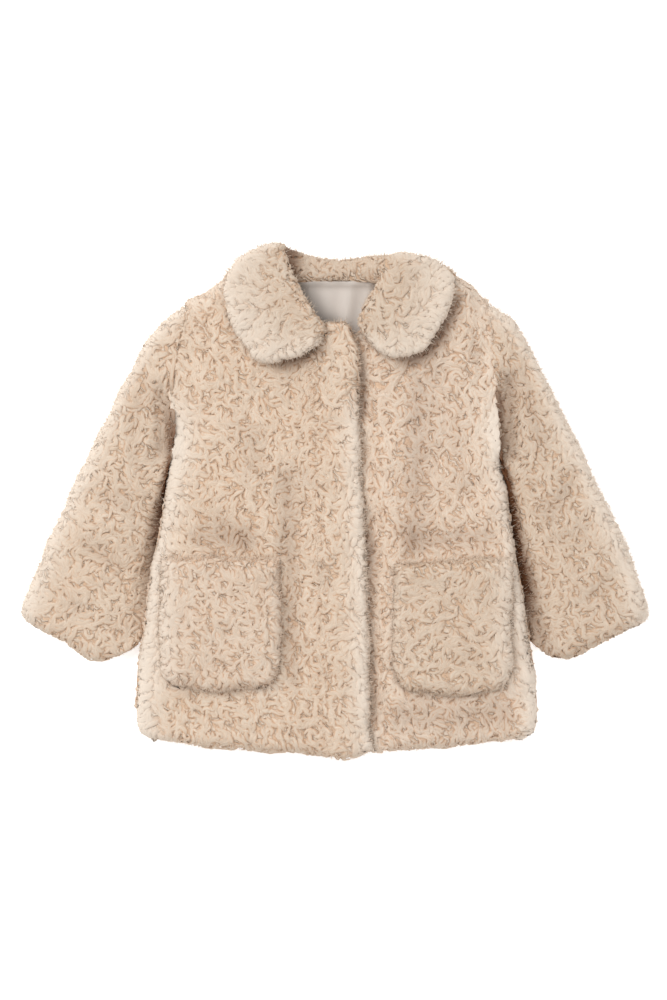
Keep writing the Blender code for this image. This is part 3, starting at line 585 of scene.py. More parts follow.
def back_skin(inset):
    """The back, which bears pile underneath and round its edges, but not where the sleeves are sewn on."""
    hem, high = follows(HEM_BACK), shoulders(TOP_BACK)

    def low(x):
        return hem(x) + HEM_TUCK
    height, x, y, start, stop = body_plan(right_side, left_side, low, high, inset, GRIDS["back"])
    rim = side_rim(height)
    share = panel_share(x, y, start, stop, low, high, (rim, rim), NECKLINES["back"], inset)
    ground = lift(x, y)
    top = ground + WALL - (WALL - THIN_BACK) * ease(*THIN_STEP, y)
    points = over_and_under(x, y, top, top - (top - ground - 0.6 * inset) * share)
    pile = np.ones(points.shape[:2])
    edge_columns = 3
    pile[:, edge_columns:x.shape[1] - edge_columns] = 0.0
    pile[(points[..., 1] > SHOULDER - 10.0) & (np.abs(points[..., 0]) > 100.0)] = 0.0
    return Skin(points, pile)


def front_skin(points, pile, hand, high, edge, width, dark=0.0, placket=0.0):
    """A front whose pile is paler, width wide, along its side and its shoulder: brushed out thin, partly
    painted light.

    There it bears fewer fine hairs, other than at the placket.  Dark and the front's shade add painted shade.
    """
    brushed = pale_edge(edge, width) * (1.0 - 0.9 * ease(*SIDE_PALE, points[..., 1]))
    fuzz = 1.0 - 1.2 * brushed * (1.0 - placket)
    brushed = np.maximum(brushed, shoulder_edge(points, high))
    return Skin(points, pile, dark + front_shade(points, hand) - brushed, fuzz=fuzz)


def right_front_skin(inset):
    """The right front with its placket, which lies over the left front."""
    low, high = follows(HEM), shoulders(TOP_RIGHT)
    height, x, y, start, stop = body_plan(right_side, free_edge, low, high, inset, GRIDS["right"])
    rims = (side_rim(height), PLACKET_RIM)
    share = panel_share(x, y, start, stop, low, high, rims, NECKLINES["right"], inset)
    under, top = right_front_levels(x, y, free_edge(height) - x)
    points = over_and_under(x, y, under + (top - under - inset) * share, under)
    pile = top_pile(points, x.shape[1]) * ~hidden_front(points, "right")
    to_edge = free_edge(points[..., 1]) - points[..., 0]
    edge = np.minimum(points[..., 0] - right_side(points[..., 1]), to_edge) - inset
    return front_skin(points, pile, "right", high, edge, 16.0, placket=halo(np.abs(to_edge), 20.0))


def left_front_skin(inset):
    """The left front, pressed thin and bare where it runs under the placket."""
    low, high = follows(HEM_LEFT), shoulders(TOP_LEFT)

    def hidden_edge(height):
        return free_edge(height) - OVERLAP
    height, x, y, start, stop = body_plan(hidden_edge, left_side, low, high, inset, GRIDS["left"])
    rims = (HIDDEN_RIM, side_rim(height))
    share = panel_share(x, y, start, stop, low, high, rims, NECKLINES["left"], inset)
    under, top = left_front_levels(x, y, x - hidden_edge(height))
    pressed = inset * ease(0.6 * OVERLAP, 0.4 * OVERLAP, x - start)
    points = over_and_under(x, y, under + (top - under - pressed) * share, under)
    beside = points[..., 0] - free_edge(points[..., 1])
    pile = top_pile(points, x.shape[1]) * ~hidden_front(points, "left") * (beside > -5.0)
    # Painted shade in a thin line beside the placket's edge.
    dark = halo(beside - 1.0, 3.5) * np.interp(points[..., 1], PLACKET_SHADE.height, PLACKET_SHADE.dark)
    edge = left_side(points[..., 1]) - points[..., 0] - inset
    return front_skin(points, pile, "left", high, edge, 10.0, dark)


def top_pile(points, across):
    """Pile on the upper side of a panel and round its two edges."""
    pile = np.zeros(points.shape[:2])
    pile[:, :across] = 1.0
    return pile


def wing_outline(sections):
    outer = np.column_stack((sections.outer_x, sections.outer_y))
    inner = np.column_stack((sections.inner_x, sections.inner_y))
    return np.vstack((outer, inner[::-1]))


def pocket_outline(name):
    left, right, low, high_left, high_right = POCKETS[name]
    return np.array(((left, low), (right, low), (right, high_right), (left, high_left)))


def pale_edge(distance, width):
    """How much paler the pile is along an edge: brushed out thin, and partly painted light."""
    return 0.8 * halo(distance, width)


def front_shade(points, hand):
    """Painted shade on a front's pile: beside its pocket, under the collar and along its folds.

    It is darker below the pocket, where light falls from the neck's side, and painted light makes it paler
    beside it.  The painted shadow of a wing fades towards the shoulder.
    """
    x, y = points[..., 0], points[..., 1]
    pocket = away(x, y, pocket_outline("pocket_" + hand))
    left, right, low, high = POCKETS["pocket_" + hand][:4]
    below = ease(4.0, 8.0, low + 6.0 - y) * ease(4.0, 20.0, np.minimum(x - left, right - x))
    if hand == "right":
        below = below * (1.0 - ease(-86.0, 22.0, x))
        lower = ease(0.0, 14.0, 366.0 - y) * ease(-58.0, 18.0, x)
    else:
        lower = ease(0.0, 16.0, 372.0 - y + 0.9 * (x - 60.0)) * ease(48.0, 22.0, x)
    beside = 0.45 * below - 0.2 * (y < high - 4.0) * (1.0 - below)
    under_wing = 0.75 * lower * halo(away(x, y, wing_outline(WINGS[hand])), 8.0)
    fold_shade = 0.08 * np.maximum(folds(FOLDS, x, y), 0.0) + folds(FRONT_SHADE_BANDS, x, y)
    return np.maximum(under_wing, fold_shade) + beside * halo(pocket, 4.0)


def hidden_front(points, hand):
    """Where a front lies well under its pocket or under the collar."""
    x, y = points[..., 0], points[..., 1]
    under_pocket = covered(x, y, pocket_outline("pocket_" + hand), 11.0)
    return under_pocket | covered(x, y, wing_outline(WINGS[hand]), 9.0)


def sleeve_plan(name, inset, outward, edge):
    """Plan of a sleeve: rows from armhole to cuff, columns from its outer to its inner edge.

    The first rows turn from the armhole's slant to the rings', and the rings bow a little downwards. The
    last rows are the cuff's turned edge, each one further along a quarter circle, and the cuff's inner
    corner is rounded.  Returns x, y, the columns' shares and each row's width, slope and flatness.
    """
    rows, cols = SLEEVE_GRID
    steps = np.linspace(0.0, len(SLEEVE_RINGS.bow) - 1.0, rows)
    rings = type(SLEEVE_RINGS)(*(np.interp(steps, np.arange(len(c)), c) for c in SLEEVE_RINGS))
    outer_x = rings.right_x if outward < 0.0 else rings.left_x
    share = crowded(cols)
    station = SHOULDER - (SHOULDER - ARMPIT) * share
    inner = edge(rings.inner_height) + outward * (SEAM + rings.side_gap)
    x = outer_x[:, None] + (inner - outer_x)[:, None] * share
    y = rings.outer_height[:, None] + (rings.inner_height - rings.outer_height)[:, None] * share
    fade = np.interp(steps, (0.0, 1.0, 2.0, 3.0), (1.0, 0.6, 0.25, 0.0))
    x = x + fade[:, None] * (edge(station) + outward * SEAM - x[0])

    run = np.stack((x[:, -1] - x[:, 0], y[:, -1] - y[:, 0]), axis=1)
    width = np.hypot(run[:, 0], run[:, 1])
    down = np.stack((-run[:, 1], run[:, 0]), axis=1) / width[:, None] * outward
    bow = rings.bow[:, None] * np.sin(math.pi * share ** 1.5)
    x = x + bow * down[:, :1]
    y = y + bow * down[:, 1:]

    across, across_down = run[-1] / width[-1], down[-1]
    last = len(x) - 1
    turn = CUFF_ROUND - 0.5 * inset
    angles = np.radians(np.linspace(0.0, CUFF_TURN, CUFF_ROWS + 1)[1:])
    for angle in angles:
        narrow = 0.8 * turn * (1.0 - math.cos(angle)) * (1.0 - 2.0 * share)
        reach = turn * math.sin(angle)
        x = np.vstack((x, x[last] + down[last, 0] * reach + across[0] * narrow))
        y = np.vstack((y, y[last] + down[last, 1] * reach + across[1] * narrow))
    slope = np.append(rings.slope, np.full(CUFF_ROWS, rings.slope[last]))
    flat = np.append(np.ones(rows), [math.cos(angle) for angle in angles])
    width = np.append(width, np.full(CUFF_ROWS, width[last]))

    corner = CUFF_CORNER[name]
    from_inner = (1.0 - share) * width[-1]
    dip = np.clip(1.0 - from_inner / corner, 0.0, 1.0)
    sag = CUFF_SAG[name] * np.exp(-((from_inner - 1.2 * corner) / corner) ** 2)
    low = ease(0.62, 0.38, np.linspace(0.0, 1.0, len(x)))[:, None]
    raised = (corner * (1.0 - np.sqrt(1.0 - dip * dip)) - sag) * low
    return x - across_down[0] * raised, y - across_down[1] * raised, share, width[:, None], slope, flat


def sleeve_dip(outward, run_down, from_body):
    """How far a sleeve dips beside the body, less towards the cuff."""
    fading = ease(0.6, 0.25, run_down) if outward < 0.0 else 0.6 * ease(0.8, 0.15, run_down)
    deep = ease(0.1, 0.2, run_down) * (1.0 - 0.8 * fading)
    return CREVICE_DEPTH * deep * (1.0 - ease(2.0, CREVICE_WIDTH, from_body))


def crevice_shade(strength, y, from_body, from_seam):
    """Painted shade on a sleeve beside the body: in the crevice, and above it along the armhole's seam."""
    sewn = ease(*SEWN_STEP, y)
    crevice = strength * halo(from_body - 7.0, 0.45 * CREVICE_WIDTH)
    seam = strength * sewn * halo(from_seam - 3.0, 6.0)
    return np.maximum(crevice * (1.0 - sewn), seam) + np.minimum(crevice, 0.0)


def sleeve_skin(name, inset):
    """A sleeve pressed flat: an outer skin from armhole to cuff and back inside as its hollow."""
    outward, edge, strength = ((-1.0, right_side, CREVICE_SHADE.right) if name.endswith("right")
                               else (1.0, left_side, CREVICE_SHADE.left))
    x, y, share, width, slope, flat = sleeve_plan(name, inset, outward, edge)
    run_down = np.linspace(0.0, 1.0, len(x))[:, None]
    from_body = (1.0 - share) * width
    level = SLEEVE_LEVEL - (SLEEVE_LEVEL - SLEEVE_INNER) * ease(0.35, 0.65, share) * slope[:, None]
    middle = (level - sleeve_dip(outward, run_down, from_body)) / 2.0
    free = 1.0 - np.interp(np.arange(len(x)), (0.0, 6.0), (1.0, 0.0))[:, None]
    tuck = CREVICE_REACH * ease(0.0, 0.08, run_down)
    shrink = (inset * free * (1.0 - share) + tuck * share) / width
    x_skin = x + (x[:, -1:] - x[:, :1]) * shrink
    y_skin = y + (y[:, -1:] - y[:, :1]) * shrink
    full = rounded(share * width, RIM) * rounded(from_body, 0.7 * RIM)
    half = np.maximum(middle - inset, LEAST_HALF) * full * flat[:, None]
    outside = over_and_under(x_skin, y_skin, middle + half, middle - half)
    tucked = HOLLOW[0] + HOLLOW[1] * share
    hollow_x, hollow_y, mid = (np.array([np.interp(tucked, share, row) for row in rows])
                               for rows in (x, y, middle))
    slit = 0.5 * SLEEVE_SLIT * np.minimum(1.0, np.sin(math.pi * share) * 4.0)
    hollow = over_and_under(hollow_x, hollow_y, mid + slit, mid - slit)
    points = np.concatenate((outside, hollow[::-1]))
    pile = np.zeros(points.shape[:2])
    pile[:len(outside)] = 1.0
    # Painted shade in the crevice, along the seam and in the folds; paler along the outer edge, partly
    # painted light.
    dark = crevice_shade(np.interp(y, CREVICE_SHADE.height, strength), y, from_body, outward * (x - edge(y)))
    fold_shade = 0.06 * folds(SLEEVE_FOLDS, outside[..., 0], outside[..., 1])[:, :len(share)]
    shade = np.zeros(points.shape[:2])
    shade[:len(outside), :len(share)] = np.maximum(dark, fold_shade) - pale_edge(share * width, 14.0)
    return Skin(points, pile, shade, looped=True)


def between(sections, count):
    """Rows of a table, as many as asked for, evenly spread between the given ones."""
    steps = np.linspace(0.0, len(sections[0]) - 1.0, count)
    return zip(*(np.interp(steps, np.arange(len(column)), column) for column in sections))


def wing_skin(name, sections, inset):
    """A wing of the collar, over its top from the outer edge, down its stand, back along its underside."""
    rows = []
    for outer_x, outer_y, inner_x, inner_y, swell, stand in between(sections, WING_ROWS):
        width = math.hypot(inner_x - outer_x, inner_y - outer_y)
        edge = min(7.0, 0.3 * width)
        foot = min(STAND_WIDTH, 0.3 * width)
        over = np.concatenate((WING_EDGE, np.linspace(edge, width - edge, WING_TOP_COLUMNS) / edge,
                               width / edge - WING_EDGE[:0:-1])) * edge
        back = np.array((width, width - 0.1 * foot, width - 0.35 * foot, width - foot,
                         width - 1.12 * foot, 0.75 * width, 0.5 * width, width / 3.0, edge, 0.3 * edge))
        stops = (0.0, 0.3 * edge, edge, width / 3.0, 2.0 * width / 3.0, width - edge,
                 width - 0.3 * edge, width)
        bulge = np.concatenate((np.interp(over, stops, WING_TOP), WING_UNDER))
        margin = min(inset, 0.2 * width) / width
        shown = margin + (1.0 - 2.0 * margin) * np.concatenate((over, back)) / width
        x = outer_x + (inner_x - outer_x) * shown
        y = outer_y + (inner_y - outer_y) * shown
        z = resting(name, x, y) + WING_GAP + (WING_WALL * swell - inset) * bulge
        seam = lift(x, y) + STAND_LEVEL
        turn = slice(len(over) + 1, len(over) + 4)
        z[turn] += min(stand, 1.0) * (seam[turn] + STAND_HEIGHTS - z[turn])
        rows.append(np.stack((x, y, z), axis=-1))
    points = np.array(rows)
    pile = np.ones(points.shape[:2])
    pile[:, 22:-1] = 0.0
    # Paler along the outer edge, where the pile is brushed out thin: partly painted light.
    shade = np.zeros(pile.shape)
    shade[:, :13] = -np.linspace(0.75, 0.1, 13)
    fuzz = np.ones(pile.shape)
    fuzz[:, 12:] = 0.35
    return Skin(points, pile, shade, fuzz=fuzz)


def yoke_skin(inset):
    """The collar behind the neck: up its seam, over the roll, under the back, to the end of its fall."""
    rows = []
    for x, roll, seam, fall, crown in between(YOKE, YOKE_ROWS):
        wide = roll - seam
        turn = min(9.0, 0.45 * wide)
        deep = min(inset, 0.3 * wide)
        seam, roll, crown = seam + 0.4 * deep, roll - deep, crown - deep
        fall = fall + 2.0
        y, z = np.array((
            (seam, FALL_WALL), (seam, 0.5 * (crown + FALL_WALL)), (seam, crown - 0.4 * turn),
            (seam + 0.35 * turn, crown - 0.1 * turn), (0.5 * (seam + roll), crown),
            (roll - turn, crown), (roll - 0.3 * turn, 0.87 * crown), (roll, 0.55 * crown),
            (roll - 0.15 * turn, 0.26 * crown), (roll - 0.8 * turn, 1.5), (0.5 * (roll + fall), 1.5),
            (fall + 5.0, 1.5), (fall, 0.45 * FALL_WALL), (fall + 2.0, 0.8 * FALL_WALL),
            (fall + 8.0, FALL_WALL - 0.6), (0.5 * (fall + seam), FALL_WALL - 0.3))).T
        rows.append(np.column_stack((np.full(len(y), x), y, z)))
    points = np.array(rows)
    pile = np.ones(points.shape[:2])
    pile[:, -3:] = 0.0
    pile[:, :3] = 0.0
    fuzz = np.zeros(pile.shape)
    fuzz[:, 6:10] = 1.0
    x = points[..., 0]
    # Painted shade beside the right wing, and a little over the middle of the band.
    shade = 0.75 * halo(x + 38.0, 9.0) * ease(-64.0, 14.0, x)
    return Skin(points, pile, shade + 0.06 * (np.abs(x) < 42.0), fuzz=fuzz)


def pocket_skin(name, inset):
    """A patch pocket with rounded lower corners, on its front's surface."""
    left, right, low, high_left, high_right = POCKETS[name]
    left, right, low = left + inset, right - inset, low + inset
    up, across = (crowded(count) for count in POCKET_GRID)
    height = 0.5 * (high_left + high_right) - inset - low
    levels = height * up
    dip = np.clip(1.0 - levels / POCKET_CORNER, 0.0, 1.0)
    corner = POCKET_CORNER * (1.0 - np.sqrt(1.0 - dip * dip)) * CORNER_CUT
    x = left + corner[:, None] + (right - left - 2.0 * corner[:, None]) * across
    top_edge = high_left + (high_right - high_left) * across - inset
    belly = POCKET_BELLY * np.sin(math.pi * across) * (1.0 - up[:, None])
    y = low - belly + (top_edge - low) * up[:, None]
    columns = (right - left) * across
    share = rounded(columns, POCKET_RIM) * rounded(right - left - columns, POCKET_RIM)
    share = share * (rounded(levels, POCKET_RIM) * rounded(height - levels, 0.5 * POCKET_RIM))[:, None]
    under = resting(name, x, y) + SEAM
    gape = POCKET_MOUTH * ease(0.8 * height, 0.15 * height, levels)[:, None] * np.sin(math.pi * across)
    points = over_and_under(x, y, under + (POCKET_WALL - inset + gape) * share, under)
    outer, inner = (x - left, right - x) if name.endswith("right") else (right - x, x - left)
    # Paler along its edges, where the pile is brushed out thin: partly painted light.
    brushed = 0.7 * pale_edge(outer, 14.0) + 0.25 * pale_edge(inner, 9.0)
    brushed = np.concatenate((brushed, brushed[:, -2:0:-1]), axis=1)
    return Skin(points, top_pile(points, x.shape[1]), -brushed)


def lining_skin(depth):
    """The lining inside the neck, a thin sheet with a few soft folds that run down from its seam."""
    rows, cols = LINING_GRID
    share = crowded(cols, 0.3)
    y = np.repeat(np.linspace(LINING_LOW, LINING_HIGH, rows)[:, None], cols, axis=1)
    taper = LINING_TAPER * (LINING_HIGH - y) / (LINING_HIGH - LINING_LOW)
    x = LINING_LEFT + taper + (LINING_WIDTH - 2.0 * taper) * share
    level = lift(x, y) + LINING_LEVEL + LINING_TURN * ease(LINING_HIGH - 9.0, 9.0, y) ** 2
    edge = np.ones_like(x)
    edge[[0, -1]] = 0.0
    edge[:, [0, -1]] = 0.0
    fold = depth * folds(LINING_FOLDS, x, y) * edge
    raised = level + LINING_WALL * (0.5 + 0.5 * edge) - fold
    points = over_and_under(x, y, raised, level + LINING_WALL * 0.5 * (1.0 - edge) - fold)
    # Painted shadow of the right wing on the lining, and darker towards its lower edge.
    beside = points[..., 0] - np.interp(points[..., 1], WING_RIGHT.inner_y, WING_RIGHT.inner_x)
    shade = 0.85 * halo(beside, 15.0) + 0.35 * ease(392.0, -22.0, points[..., 1])
    return Skin(points, np.zeros(points.shape[:2]), shade)


# ---------------------------------------------------------------- meshes

def to_frame(points):
    return (points - ORIGIN) * MM


def build(name, corners, quads, ends=None, values=None, fibres=None):
    """A mesh from whole arrays: quads, triangles that close them, point values and a UV map."""
    mesh = bpy.data.meshes.new(name)
    quads = np.asarray(quads, dtype=np.int32).reshape(-1, 4)
    ends = np.zeros((0, 3), np.int32) if ends is None else np.asarray(ends, dtype=np.int32).reshape(-1, 3)
    loops = np.concatenate((quads.ravel(), ends.ravel()))
    starts = np.concatenate((np.arange(len(quads)) * 4, len(quads) * 4 + np.arange(len(ends)) * 3))
    mesh.vertices.add(len(corners))
    mesh.vertices.foreach_set("co", to_frame(corners).astype(np.float32).ravel())
    mesh.loops.add(len(loops))
    mesh.loops.foreach_set("vertex_index", loops)
    mesh.polygons.add(len(starts))
    mesh.polygons.foreach_set("loop_start", starts.astype(np.int32))
    mesh.update(calc_edges=True)
    mesh.validate()
    for key, value in (values or {}).items():
        attribute = mesh.attributes.new(key, "FLOAT", "POINT")
        attribute.data.foreach_set("value", value.astype(np.float32).ravel())
    if fibres is not None:
        mesh.uv_layers.new(name="fibres").data.foreach_set("uv", fibres.astype(np.float32).ravel())
    mesh.shade_smooth()
    piece = bpy.data.objects.new(name, mesh)
    bpy.context.scene.collection.objects.link(piece)
    return piece


CLOTH_SHARP = math.radians(50.0)    # cloth is smooth across its edges up to this angle
SAME_POINT = 2e-6                   # in metres


def grid_quads(index):
    """Quads of a grid of point numbers."""
    return np.stack((index[:-1, :-1], index[:-1, 1:], index[1:, 1:], index[1:, :-1]), axis=-1).reshape(-1, 4)


def cap(index):
    """Closes a ring of point numbers with a strip of quads between its two halves, a triangle at each end."""
    count = len(index)
    first = np.arange(1, (count - 1) // 2)
    quads = index[np.stack((first, first + 1, count - first - 1, count - first), axis=-1)]
    middle = count // 2
    ends = [index[[0, 1, count - 1]]]
    if count % 2 == 0:
        ends.append(index[[middle - 1, middle, middle + 1]])
    return quads, np.array(ends)


def cloth(name, skins, finish):
    """The cloth of a piece: the skins' grids, closed at their ends, as one mesh."""
    corners, quads, ends, start = [], [], [], 0
    for skin in skins:
        rows, around = skin.points.shape[:2]
        index = start + np.arange(rows * around).reshape(rows, around)
        if not skin.looped:
            for row in (index[0], index[-1]):
                strip, triangles = cap(row)
                quads.append(strip)
                ends.append(triangles)
        index = np.hstack((index, index[:, :1]))
        if skin.looped:
            index = np.vstack((index, index[:1]))
        corners.append(skin.points.reshape(-1, 3))
        quads.append(grid_quads(index))
        start += rows * around
    shade = np.concatenate([skin.shade.ravel() for skin in skins])
    ends = np.vstack(ends) if ends else None
    piece = build(name, np.vstack(corners), np.vstack(quads), ends, values={"shade": shade})
    shape = bmesh.new()
    shape.from_mesh(piece.data)
    bmesh.ops.remove_doubles(shape, verts=shape.verts, dist=SAME_POINT)
    bmesh.ops.dissolve_degenerate(shape, edges=shape.edges, dist=SAME_POINT)
    bmesh.ops.holes_fill(shape, edges=[e for e in shape.edges if e.is_boundary])
    bmesh.ops.recalc_face_normals(shape, faces=shape.faces)
    shape.to_mesh(piece.data)
    shape.free()
    piece.data.shade_smooth()
    piece.data.set_sharp_from_angle(angle=CLOTH_SHARP)
    piece.data.materials.append(finish)
    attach(piece, "root")
    return piece


# ---------------------------------------------------------------- pile

Pile = namedtuple("Pile", "length width rise turns swing steps relief")

UNDER_SHARE = 0.3     # how much sparser the locks are where the coat lies on them
AGAINST = 0.10        # share of the locks that curl back against the nap
SWIRL = 52.0          # size of the long swirls that the locks follow
WAVE = 12.5           # size of the short waves
SWIRL_SWING = 0.7
OWN_SWING = 0.35
STRAY = 0.28          # how far chance turns a lock or a hair
LENGTHS = (0.7, 1.25)    # the least and the most that chance makes of a lock's length, width and waves
WIDTHS = (0.75, 1.2)
TURNS = (0.6, 1.35)
LEAST_RISE = 0.55
RISE_SPREAD = 0.4
RISING = 0.4          # the part of its length over which a lock rises
LOCK_FLATNESS = 0.42
LOCK_SHARP = math.radians(100.0)    # a lock's two sides stay sharp, and its crown is smooth
LOCK_SIDES = 0.9      # how much less light its two sides have than its crown
CORNERS = np.radians((90.0, 210.0, 330.0))    # a lock is three-sided
ROOT_LIGHT = 0.3      # the light at a lock's root, which grows over the next part of its length
ROOT_PART = 0.35
OVERHANG = 2.0        # how far a lock runs on past a hem
STEP_CELLS = 2.0      # the most cells of the grid that one step of a lock crosses
GROUND_CLEARANCE = 0.15
PRESSED_DEPTH = 1.6
STEEP = (0.25, 0.45)  # how much a piece's side leans, from where its nap turns to where it has turned
BRUSHED = 17.0        # how far in from a front's side the pile is brushed out
LARGEST_SHADE = 0.8
HAIR_ON_TOP = 0.10    # how much sparser the fine hairs are away from the edges
HAIR_UNDER = -0.45    # none grow where the cloth faces down more than this
HAIR_TAPER = np.array((1.0, 0.8, 0.15))


def pressed_by_ground(z):
    """Levels near the ground, pressed together above it: they fade to the clearance and never reach it."""
    low = PRESSED_DEPTH
    pressed = (low - GROUND_CLEARANCE) * np.exp((np.minimum(z, low) - low) / low)
    return np.where(z > low, z, GROUND_CLEARANCE + pressed)


def lay(skin, spots, heading, length, steps, nap):
    """Walks each lock over the skin, its heading an angle from the nap that depends on where it is."""
    row, col = spots
    path, normals, shade = [], [], []
    stride = length / (steps - 1)
    for step in range(steps):
        normal = unit(skin.at(skin.normals, row, col))
        around, along = skin.at(skin.round, row, col), skin.at(skin.along, row, col)
        place = skin.at(skin.points, row, col)
        past = along * (row - np.clip(row, 0.0, len(skin.points) - 1.0))[:, None]
        far = np.linalg.norm(past, axis=1, keepdims=True)
        path.append(place + past * np.minimum(1.0, OVERHANG / np.maximum(far, 1e-6)))
        normals.append(normal)
        shade.append(skin.at(skin.shade, row, col))
        lie = nap(place, normal)
        forward = unit(lie - normal * (lie * normal).sum(axis=1, keepdims=True))
        sideways = np.cross(normal, forward)
        angle = heading(place, step / (steps - 1))
        run = forward * np.cos(angle)[:, None] + sideways * np.sin(angle)[:, None]
        rr, cc, rc = ((a * b).sum(axis=1) for a, b in ((along, along), (around, around), (along, around)))
        to_row, to_col = (run * along).sum(axis=1), (run * around).sum(axis=1)
        scale = np.maximum(rr * cc - rc * rc, 0.02)
        row = row + np.clip((to_row * cc - to_col * rc) / scale * stride, -STEP_CELLS, STEP_CELLS)
        col = col + np.clip((to_col * rr - to_row * rc) / scale * stride, -STEP_CELLS, STEP_CELLS)
    return np.stack(path, axis=1), np.stack(normals, axis=1), np.stack(shade, axis=1)


def tubes(name, path, normals, radius, flatness, look, rng):
    """Closed three-sided tapering tubes along paths, flattened against the cloth, as one mesh.

    Their look is each one's tone, the painted shade that it lies in, and the painted light at its two sides.
    """
    tone, shade, sides = look
    count, steps = path.shape[:2]
    run = unit(np.gradient(path, axis=1))
    side = unit(np.cross(normals, run))
    up = np.cross(run, side)
    thick = np.broadcast_to(flatness, count)[:, None, None, None]
    spread = side[:, :, None] * np.cos(CORNERS)[:, None] + up[:, :, None] * np.sin(CORNERS)[:, None] * thick
    corners = path[:, :, None] + spread * radius[:, :, None, None]
    corners[..., 2] = pressed_by_ground(corners[..., 2])
    index = np.arange(count * steps * 3).reshape(count, steps, 3)
    ring = np.concatenate((index, index[:, :, :1]), axis=2)
    quads = np.stack((ring[:, :-1, :-1], ring[:, :-1, 1:], ring[:, 1:, 1:], ring[:, 1:, :-1]), axis=-1)
    ends = np.concatenate((index[:, 0, ::-1], index[:, -1]))
    share = np.linspace(0.0, 1.0, steps)
    # Painted shade: a lock's two sides and its root get less light, which turns their colour towards the gap
    # colour.
    light = np.hstack((np.ones((count, 1)), sides))[:, None]
    light = light * (ROOT_LIGHT + (1.0 - ROOT_LIGHT) * ease(0.0, ROOT_PART, share))[:, None]
    values = {
        "light": light,
        "tone": np.broadcast_to(tone[:, None, None], (count, steps, 3)),
        "shade": np.broadcast_to(shade[..., None], (count, steps, 3)),
    }
    turn = np.array((0.0, 1.0, 2.0, 3.0)) / 3.0
    length = np.linalg.norm(np.diff(path, axis=1), axis=2).sum(axis=1)
    start = rng.uniform(0.0, 40.0, (count, 2))
    u = start[:, :1, None] + turn * 2.0 * math.pi * radius.max(axis=1)[:, None, None]
    v = start[:, 1:, None] + share[:, None] * length[:, None, None]
    u, v = np.broadcast_to(u, (count, steps, 4)), np.broadcast_to(v, (count, steps, 4))
    uv = np.stack((u, v), axis=-1)
    quad_uv = np.stack((uv[:, :-1, :-1], uv[:, :-1, 1:], uv[:, 1:, 1:], uv[:, 1:, :-1]), axis=3)
    end_uv = np.concatenate((uv[:, 0, 2::-1], uv[:, -1, :3]))
    fibres = np.concatenate((quad_uv.reshape(-1, 2), end_uv.reshape(-1, 2)))
    piece = build(name, corners.reshape(-1, 3), quads, ends, values, fibres)
    piece.data.set_sharp_from_angle(angle=LOCK_SHARP)
    return piece


def over_edges(lie, normal):
    """The lie of the nap, turned outwards near the edges of a piece and down over them."""
    steep = ease(*STEEP, np.linalg.norm(normal[:, :2], axis=1))[:, None]
    return lie * (1.0 - 0.8 * steep) + 1.6 * normal * (1.0, 1.0, 0.0) - np.array((0.0, 0.0, 1.4)) * steep


def downwards(place, normal):
    """The nap runs to the hem."""
    return over_edges(np.array((1e-3, -1.0, 0.0)), normal)


def towards_edges(hand):
    """The nap of a front runs to the hem, and is brushed outwards along its free side and the placket."""
    side, outward = (right_side, -1.0) if hand == "right" else (left_side, 1.0)

    def nap(place, normal):
        x, y = place[:, 0], place[:, 1]
        out = halo(np.abs(x - side(y)), BRUSHED) * outward
        out = out * (1.0 - ease(ARMPIT - 10.0, 40.0, y))
        if hand == "right":
            out = out + halo(np.abs(x - free_edge(y)), 0.6 * BRUSHED)
        return over_edges(np.stack((out, 0.55 * np.abs(out) - 1.0, np.zeros_like(out)), axis=1), normal)
    return nap


def along_sleeve(outward):
    """The nap of a sleeve runs down it, to the cuff."""
    def nap(place, normal):
        return over_edges(np.array((0.42 * outward, -0.9, 0.0)), normal)
    return nap


def from_neck(place, normal):
    """The collar's nap runs away from the neck hole."""
    away_from_hole = unit((place - np.array(NECK_HOLE)) * (1.0, 1.0, 0.0))
    return over_edges(away_from_hole, normal)


